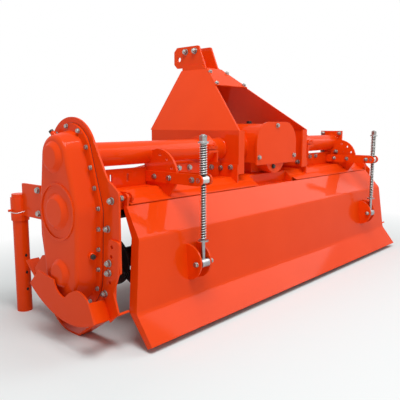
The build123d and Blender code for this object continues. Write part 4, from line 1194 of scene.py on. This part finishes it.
@dataclass
class HingeStrips(SubAssembly):
    """Sheet strips that carry the hood's rear slope to the board, and the floor of the recess."""

    # Start and end of each sloping strip across the machine.
    spans: Pairs = ((-0.952, -0.180), (0.147, 0.952))
    # Upper and lower edge of those strips, as forward offset and height.
    slope: Pairs = ((-0.092, 0.4975), (-0.1275, 0.4790))
    recess_span: Pair = (-0.1725, 0.1395)
    # Front and rear edge of the recess floor.
    recess_slope: Pairs = ((-0.0635, 0.4675), (-0.1140, 0.4660))
    thickness: float = 0.003
    hem: float = 0.004  # height of the hem turned down at the lower edge
    hem_in: float = 0.001  # how far the hem is turned inwards
    round: float = 0.0012  # radius of the bent edges
    angle: float = 40.0  # angle up to which bends are shaded smooth

    def _strip(self, span: Pair, slope: Pairs) -> Piece:
        """Models one strip from a plane: laid on the slope, hemmed, thickened and rounded.

        Args:
            span: Its start and end across the machine.
            slope: Its upper and lower edge, as forward offset and height.

        Returns:
            The strip.
        """
        start, end = span
        (top_y, top_z), (low_y, low_z) = slope
        middle = DATUM.at((start + end) / 2, (top_y + low_y) / 2, 0.0)
        Bench.clear()
        bpy.ops.mesh.primitive_plane_add(size=1.0, location=middle)
        bpy.context.object.scale = (end - start, top_y - low_y, 1.0)
        strip = Bench.placed("strip")
        points = strip.data.vertices
        for point in points:
            point.co.z = top_z if point.co.y > middle.y else low_z
        Bench.select(strip, "EDGE", lambda e: all(points[i].co.y < middle.y for i in e.vertices))
        down = (0.0, self.hem_in, -self.hem)
        bpy.ops.mesh.extrude_region_move(TRANSFORM_OT_translate={"value": down})
        Bench.mode("OBJECT")
        Bench.modify(strip, "SOLIDIFY", thickness=self.thickness)
        Bench.round_edges(strip, self.round)
        return strip

    def build(self) -> None:
        """Models the strips and joins them."""
        sheets = [self._strip(span, self.slope) for span in self.spans]
        sheets.append(self._strip(self.recess_span, self.recess_slope))
        strips = Bench.join(sheets, "hinge_strips")
        Bench.smooth(strips, self.angle)
        Bench.finish(strips, PAINT)


@dataclass
class TubeWelds(SubAssembly):
    """Weld beads where the main tube meets plates."""

    # Places of the beads across the machine.
    at_x: tuple[float, ...] = (-1.0795, -0.3025, 0.3025, 0.7795)
    tube_r: float = 0.044
    bead: float = 0.009
    ripple: float = 0.0009
    angle: float = 50.0  # angle up to which the beads are shaded smooth

    def _bead(self, x: float) -> Piece:
        """Models one rippled bead round the tube.

        Args:
            x: Its place across the machine.

        Returns:
            The bead.
        """
        middle = DATUM.at(x, TUBE_Y, TUBE_Z)
        ring = Bench.ring("bead", middle, (0.0, math.pi / 2, 0.0), self.tube_r, self.bead)

        def on_crest(point: bpy.types.MeshVertex) -> bool:
            """Whether a point of the ring lies on a crest of the ripples."""
            arm = point.co - middle
            return round(math.atan2(arm.z, arm.y) / (2 * math.pi) * Bench.RING_STEPS) % 2 == 0

        Bench.select(ring, "VERT", on_crest)
        bpy.ops.transform.shrink_fatten(value=self.ripple)
        Bench.mode("OBJECT")
        return ring

    def build(self) -> None:
        """Models the beads and joins them."""
        beads = Bench.join([self._bead(x) for x in self.at_x], "tube_welds")
        Bench.smooth(beads, self.angle)
        Bench.finish(beads, PAINT)


@dataclass
class RotorDress(SubAssembly):
    """Bolts that hold the blades on the rotor flanges."""

    first_x: float = 0.935  # distance of the end flanges from the middle
    flange_count: int = 9
    blades: int = 3  # blades on each face of a flange
    stagger: float = 27.0  # turn from one flange to the next in degrees
    bolt_radii: Pair = (0.060, 0.081)  # distance of the two bolts of a blade from the axis
    near: float = 0.05  # distance from a flange from which seats are met

    def build(self) -> None:
        """Sets out a head on each blade and a nut behind the flange."""
        seats = []
        for i in range(self.flange_count):
            x = self.first_x * (2 * i / (self.flange_count - 1) - 1)
            for hand, way in ((1, LEFT), (-1, RIGHT)):
                if i == (self.flange_count - 1 if hand > 0 else 0):
                    continue
                seats += self._pair_seats(x, hand, way, self.stagger * i)
        self.bolts("blade_bolts", Thread.M12, Form.PLAIN, seats, Body.ROTOR, ROTOR_STEEL)

    def _pair_seats(self, x: float, hand: int, way: Vector, start: float) -> list[Seat]:
        """Finds the seats of heads and nuts of the blades on one face of a flange.

        Args:
            x: The flange's place across the machine.
            hand: The face's sign across the machine.
            way: Direction into the face.
            start: Turn of the first blade in degrees.

        Returns:
            The seats, each head before its nut.
        """
        step = 360.0 / self.blades
        seats = []
        for k in range(self.blades):
            turn = math.radians(start + k * step + (0.0 if hand > 0 else step / 2))
            for r in self.bolt_radii:
                y, z = -r * math.sin(turn), AXIS_Z + r * math.cos(turn)
                seats.append(Seat.on("rotor", DATUM.at(x + hand * self.near, y, z), way))
                seats.append(Seat.on("rotor", DATUM.at(x - hand * self.near, y, z), -way))
        return seats


@dataclass
class CoilSpring:
    """A coil spring that stands for its plain CAD solid."""

    node: str  # the CAD node it replaces
    body: str
    wire: float
    turns: int
    joint: str | None = None  # the slide that shortens it, or nothing
    wire_sides: int = 10
    steps: int = 22  # steps of a turn

    def build(self) -> None:
        """Winds the wire with a screw modifier, closes its ends and sets it in place."""
        low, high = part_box(self.node)
        radius = (high.x - low.x) / 2 - self.wire / 2
        length = high.z - low.z
        Bench.clear()
        bpy.ops.mesh.primitive_circle_add(
            vertices=self.wire_sides,
            radius=self.wire / 2,
            location=(radius, 0.0, self.wire / 2),
            rotation=(math.pi / 2, 0.0, 0.0),
        )
        spring = Bench.placed(f"{self.node}_coil")
        Bench.modify(
            spring,
            "SCREW",
            axis="Z",
            angle=2 * math.pi,
            iterations=self.turns,
            screw_offset=(length - self.wire) / self.turns,
            steps=self.steps,
            render_steps=self.steps,
            use_merge_vertices=False,
        )
        Bench.mode("EDIT")
        bpy.ops.mesh.select_all(action="SELECT")
        bpy.ops.mesh.fill_holes(sides=self.wire_sides)
        bpy.ops.mesh.select_all(action="SELECT")
        bpy.ops.mesh.normals_make_consistent(inside=False)
        Bench.mode("OBJECT")
        foot = axis_point(low, high, low.z)
        spring.data.transform(Matrix.Translation(foot))
        Bench.smooth(spring, Bench.WIRE_ANGLE)
        Bench.finish(spring, ZINC, self.body)
        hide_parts(self.node)
        if self.joint is not None:
            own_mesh(spring)


@dataclass
class SprungRodDress(SubAssembly):
    """Springs, flanged top nut and pin fasteners of one sprung rod."""

    side: str
    sign: int  # the side's sign across the machine
    way: Vector
    flange_r: float = 0.0205
    flange_h: float = 0.007
    rim_h: float = 0.00175  # height of the flange's upright rim
    rim_round: float = 0.000625
    flange_top: float = 0.68  # share of the flange's radius at its top
    flange_angle: float = 30.0  # angle up to which the flange is shaded smooth
    nut_flats: float = 0.026
    nut_h: float = 0.022
    chamfer: float = 0.0025
    tip_r: float = 0.0075
    tip_sides: int = 14
    low_wire: float = 0.0038
    low_turns: int = 21
    top_wire: float = 0.0042
    top_turns: int = 13
    core_gap: float = 0.0003  # room between the top spring and the dark tube inside it
    core_wall: float = 0.0012
    core_sides: int = 24
    eye_z: float = 0.248
    rod_y: float = -0.272
    inside: float = 0.55  # distance from the middle from which inner ends are met

    def _flanged_nut(self) -> None:
        """Models the bright flange and the nut on the rod's top end, the nut in rougher zinc darkened as painted
        shade.
        """
        low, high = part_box(f"{self.side}_rod")
        middle = Matrix.Translation(axis_point(low, high))
        seat = high.z - self.nut_h - self.flange_h
        rim = seat + self.rim_h
        flange = Bench.prism("flange", Bench.ROUND_SIDES, self.flange_r, seat, rim)
        Bench.grow(flange, self.flange_h, self.flange_top)
        Bench.round_edges(flange, self.rim_round)
        flange.name = f"{self.side}_rod_flange"
        flange.data.transform(middle)
        Bench.smooth(flange, self.flange_angle)
        Bench.finish(flange, ZINC, f"{self.side}_rod")
        corner, top = self.nut_flats / math.sqrt(3), high.z - self.chamfer
        nut = Bench.prism("nut", Bench.HEX_SIDES, corner, seat + self.flange_h, top)
        Bench.crown(nut, self.chamfer, self.chamfer)
        tip = Bench.prism("tip", self.tip_sides, self.tip_r, top, high.z + self.chamfer)
        Bench.crown(tip, self.chamfer / 2, self.chamfer / 2)
        piece = Bench.join([nut, tip], f"{self.side}_rod_nut")
        piece.data.transform(middle)
        Bench.finish(piece, SHADED_BOLT_ZINC, f"{self.side}_rod")

    def _dark_core(self) -> None:
        """Models a dark tube that fills the top spring's hollow, open at both ends for the rod."""
        low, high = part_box(f"{self.side}_top_spring")
        radius = (high.x - low.x) / 2 - self.top_wire - self.core_gap
        tube = Bench.prism(f"{self.side}_spring_dark_core", self.core_sides, radius, low.z, high.z)
        Bench.select(tube, "FACE", lambda face: abs(face.normal.z) > Bench.FLAT)
        bpy.ops.mesh.delete(type="FACE")
        Bench.mode("OBJECT")
        Bench.modify(tube, "SOLIDIFY", thickness=self.core_wall)
        tube.data.transform(Matrix.Translation(axis_point(low, high)))
        Bench.smooth(tube)
        Bench.finish(tube, BLACK_PLUG_AND_SHADE, f"{self.side}_trunnion")

    def build(self) -> None:
        """Builds the springs, the nut and the fasteners of the clevis pin."""
        trunnion, rod = f"{self.side}_trunnion", f"{self.side}_rod"
        slide = f"{self.side}_rod_slide"
        CoilSpring(f"{self.side}_low_spring", rod, self.low_wire, self.low_turns, slide).build()
        CoilSpring(f"{self.side}_top_spring", trunnion, self.top_wire, self.top_turns).build()
        self._dark_core()
        self._flanged_nut()
        clevis, eye = f"{self.side}_clevis", [(self.rod_y, self.eye_z)]
        pin = Seat.across(clevis, self.sign * OUT, self.way, eye)
        self.bolts(f"{self.side}_clevis_bolt", Thread.M10, Form.HEAD, pin, Body.BOARD)
        nut = Seat.across(clevis, self.sign * self.inside, -self.way, eye)
        self.bolts(f"{self.side}_clevis_nut", Thread.M10, Form.NUT, nut, Body.BOARD)


@dataclass
class Studio:
    """White floor, soft lights and the camera of the photograph."""

    camera_at: Triple = (-2.1175, -1.4949, 0.756)  # the camera's place from the datum
    camera_right: Triple = (0.6665, -0.7455, 0.0)  # direction to the right in the picture
    camera_up: Triple = (0.1089, 0.0974, 0.9893)  # direction upwards in the picture
    lens: float = 46.2  # focal length in millimetres
    sensor: float = 36.0  # width of the sensor in millimetres
    floor_half: float = 14.0  # half the side of the floor
    # Cool grey of the floor, against the warm light that the paint throws on it.
    floor_colour: Triple = (0.79, 0.85, 0.852)
    # Distances from the machine's footprint over which the floor fades into white.
    fade: Pair = (0.10, 1.15)
    world_level: float = 0.33
    # Place, size and power of the key light.
    key: tuple[Triple, float, float] = ((-1.5, -1.5, 4.1), 2.0, 126.0)
    # Place, size and power of the large weak panel that the sloping sheets mirror.
    panel: tuple[Triple, float, float] = ((3.0, -1.8, 2.8), 2.7, 60.0)
    aim: Triple = (0.0, 0.0, 0.45)  # where the lamps look

    def camera(self) -> None:
        """Sets the camera at the photograph's place."""
        data = bpy.data.cameras.new("photo_camera")
        data.lens = self.lens
        data.sensor_width = self.sensor
        data.sensor_fit = "HORIZONTAL"
        camera = bpy.data.objects.new("photo_camera", data)
        right = Vector(self.camera_right).normalized()
        up = Vector(self.camera_up)
        up = (up - right * up.dot(right)).normalized()
        back = right.cross(up)
        turn = Matrix((right, up, back)).transposed().to_4x4()
        camera.matrix_world = Matrix.Translation(DATUM.at(*self.camera_at)) @ turn
        bpy.context.scene.collection.objects.link(camera)
        bpy.context.scene.camera = camera

    def _off_footprint(self, graph: Graph) -> Socket:
        """Measures on the floor from the machine's footprint.

        Args:
            graph: The floor's graph.

        Returns:
            The distance.
        """
        low, high = CAD_BOX
        spot = graph.add("ShaderNodeTexCoord").outputs["Object"]
        apart = graph.add("ShaderNodeSeparateXYZ", {0: spot})
        off = []
        for i, axis in enumerate("XY"):
            reach = graph.math("ABSOLUTE", apart.outputs[axis])
            off.append(graph.math("SUBTRACT", reach, (high[i] - low[i]) / 2))
        return graph.math("MAXIMUM", *off)

    def floor(self) -> None:
        """Adds the floor, which holds the shadow by the machine and fades into the white beyond."""
        Bench.clear()
        bpy.ops.mesh.primitive_plane_add(size=2 * self.floor_half)
        floor = bpy.context.object
        floor.name = "studio_floor"
        made = bpy.data.materials.new("studio_floor")
        made.use_nodes = True
        graph = Graph(made.node_tree)
        share = graph.span(self._off_footprint(graph), *self.fade)
        shade = graph.add("ShaderNodeBsdfDiffuse", {"Color": (*self.floor_colour, 1.0)})
        white = graph.add("ShaderNodeEmission", {"Color": WHITE, "Strength": 1.0})
        mix = {0: share, 1: shade.outputs[0], 2: white.outputs[0]}
        mixed = graph.add("ShaderNodeMixShader", mix)
        graph.add("ShaderNodeOutputMaterial", {"Surface": mixed.outputs[0]})
        floor.data.materials.append(made)

    def world(self) -> None:
        """White to the eye and in gloss, and a plain soft light on the rest."""
        world = bpy.data.worlds.new("studio_world")
        bpy.context.scene.world = world
        world.use_nodes = True
        graph = Graph(world.node_tree)
        path = graph.add("ShaderNodeLightPath")
        seen = path.outputs["Is Camera Ray"]
        for ray in ("Is Glossy Ray", "Is Transmission Ray"):
            seen = graph.math("MAXIMUM", seen, path.outputs[ray])
        soft = graph.add("ShaderNodeBackground", {"Color": WHITE, "Strength": self.world_level})
        white = graph.add("ShaderNodeBackground", {"Color": WHITE, "Strength": 1.0})
        mixed = graph.add("ShaderNodeMixShader", {0: seen, 1: soft.outputs[0], 2: white.outputs[0]})
        graph.add("ShaderNodeOutputWorld", {"Surface": mixed.outputs[0]})

    def _lamp(self, name: str, place: Triple, size: float, power: float) -> None:
        """Adds a square area lamp that looks at the machine.

        Args:
            name: Its name.
            place: Its place from the datum.
            size: Its side.
            power: Its power in watts.
        """
        data = bpy.data.lights.new(name, "AREA")
        data.shape = "SQUARE"
        data.size = size
        data.energy = power
        lamp = bpy.data.objects.new(name, data)
        spot = DATUM.at(*place)
        lamp.matrix_world = Seat(spot, spot - DATUM.at(*self.aim)).place()
        bpy.context.scene.collection.objects.link(lamp)

    def build(self) -> None:
        """Builds the whole studio."""
        self.camera()
        self.floor()
        self.world()
        self._lamp("key_light", *self.key)
        self._lamp("panel_light", *self.panel)
        bpy.context.scene.view_settings.view_transform = "Standard"


def dress_nodes() -> None:
    """Gives every CAD node the material of its slot, and the rods a steel with a band of painted shade along the
    springs.
    """
    for row in frame["record"]["subparts"]:
        node = frame["nodes"][row["node"]]
        finish = SHADED_ROD_STEEL if row["node"] in ROD_NODES else FINISHES[Slot(row["material_slot"])]
        node.data.materials.clear()
        node.data.materials.append(finish.material())


def main() -> None:
    """Builds the sub-assemblies in order and then the studio round them."""
    logging.basicConfig(level=logging.INFO, format="%(name)s: %(message)s")
    dress_nodes()
    assemblies = [
        GearCaseDress(),
        WallDress(),
        StandDress(),
        MastDress(),
        GearboxDress(),
        ArmDress(),
        HingeStrips(),
        TubeWelds(),
        RotorDress(),
        *(SprungRodDress(*side) for side in SIDES),
    ]
    for assembly in assemblies:
        assembly.build()
        log.info("%s is done", type(assembly).__name__)
    SHOP.clear_away()
    Studio().build()
    Bench.clear()


if __name__ == "__main__":
    main()
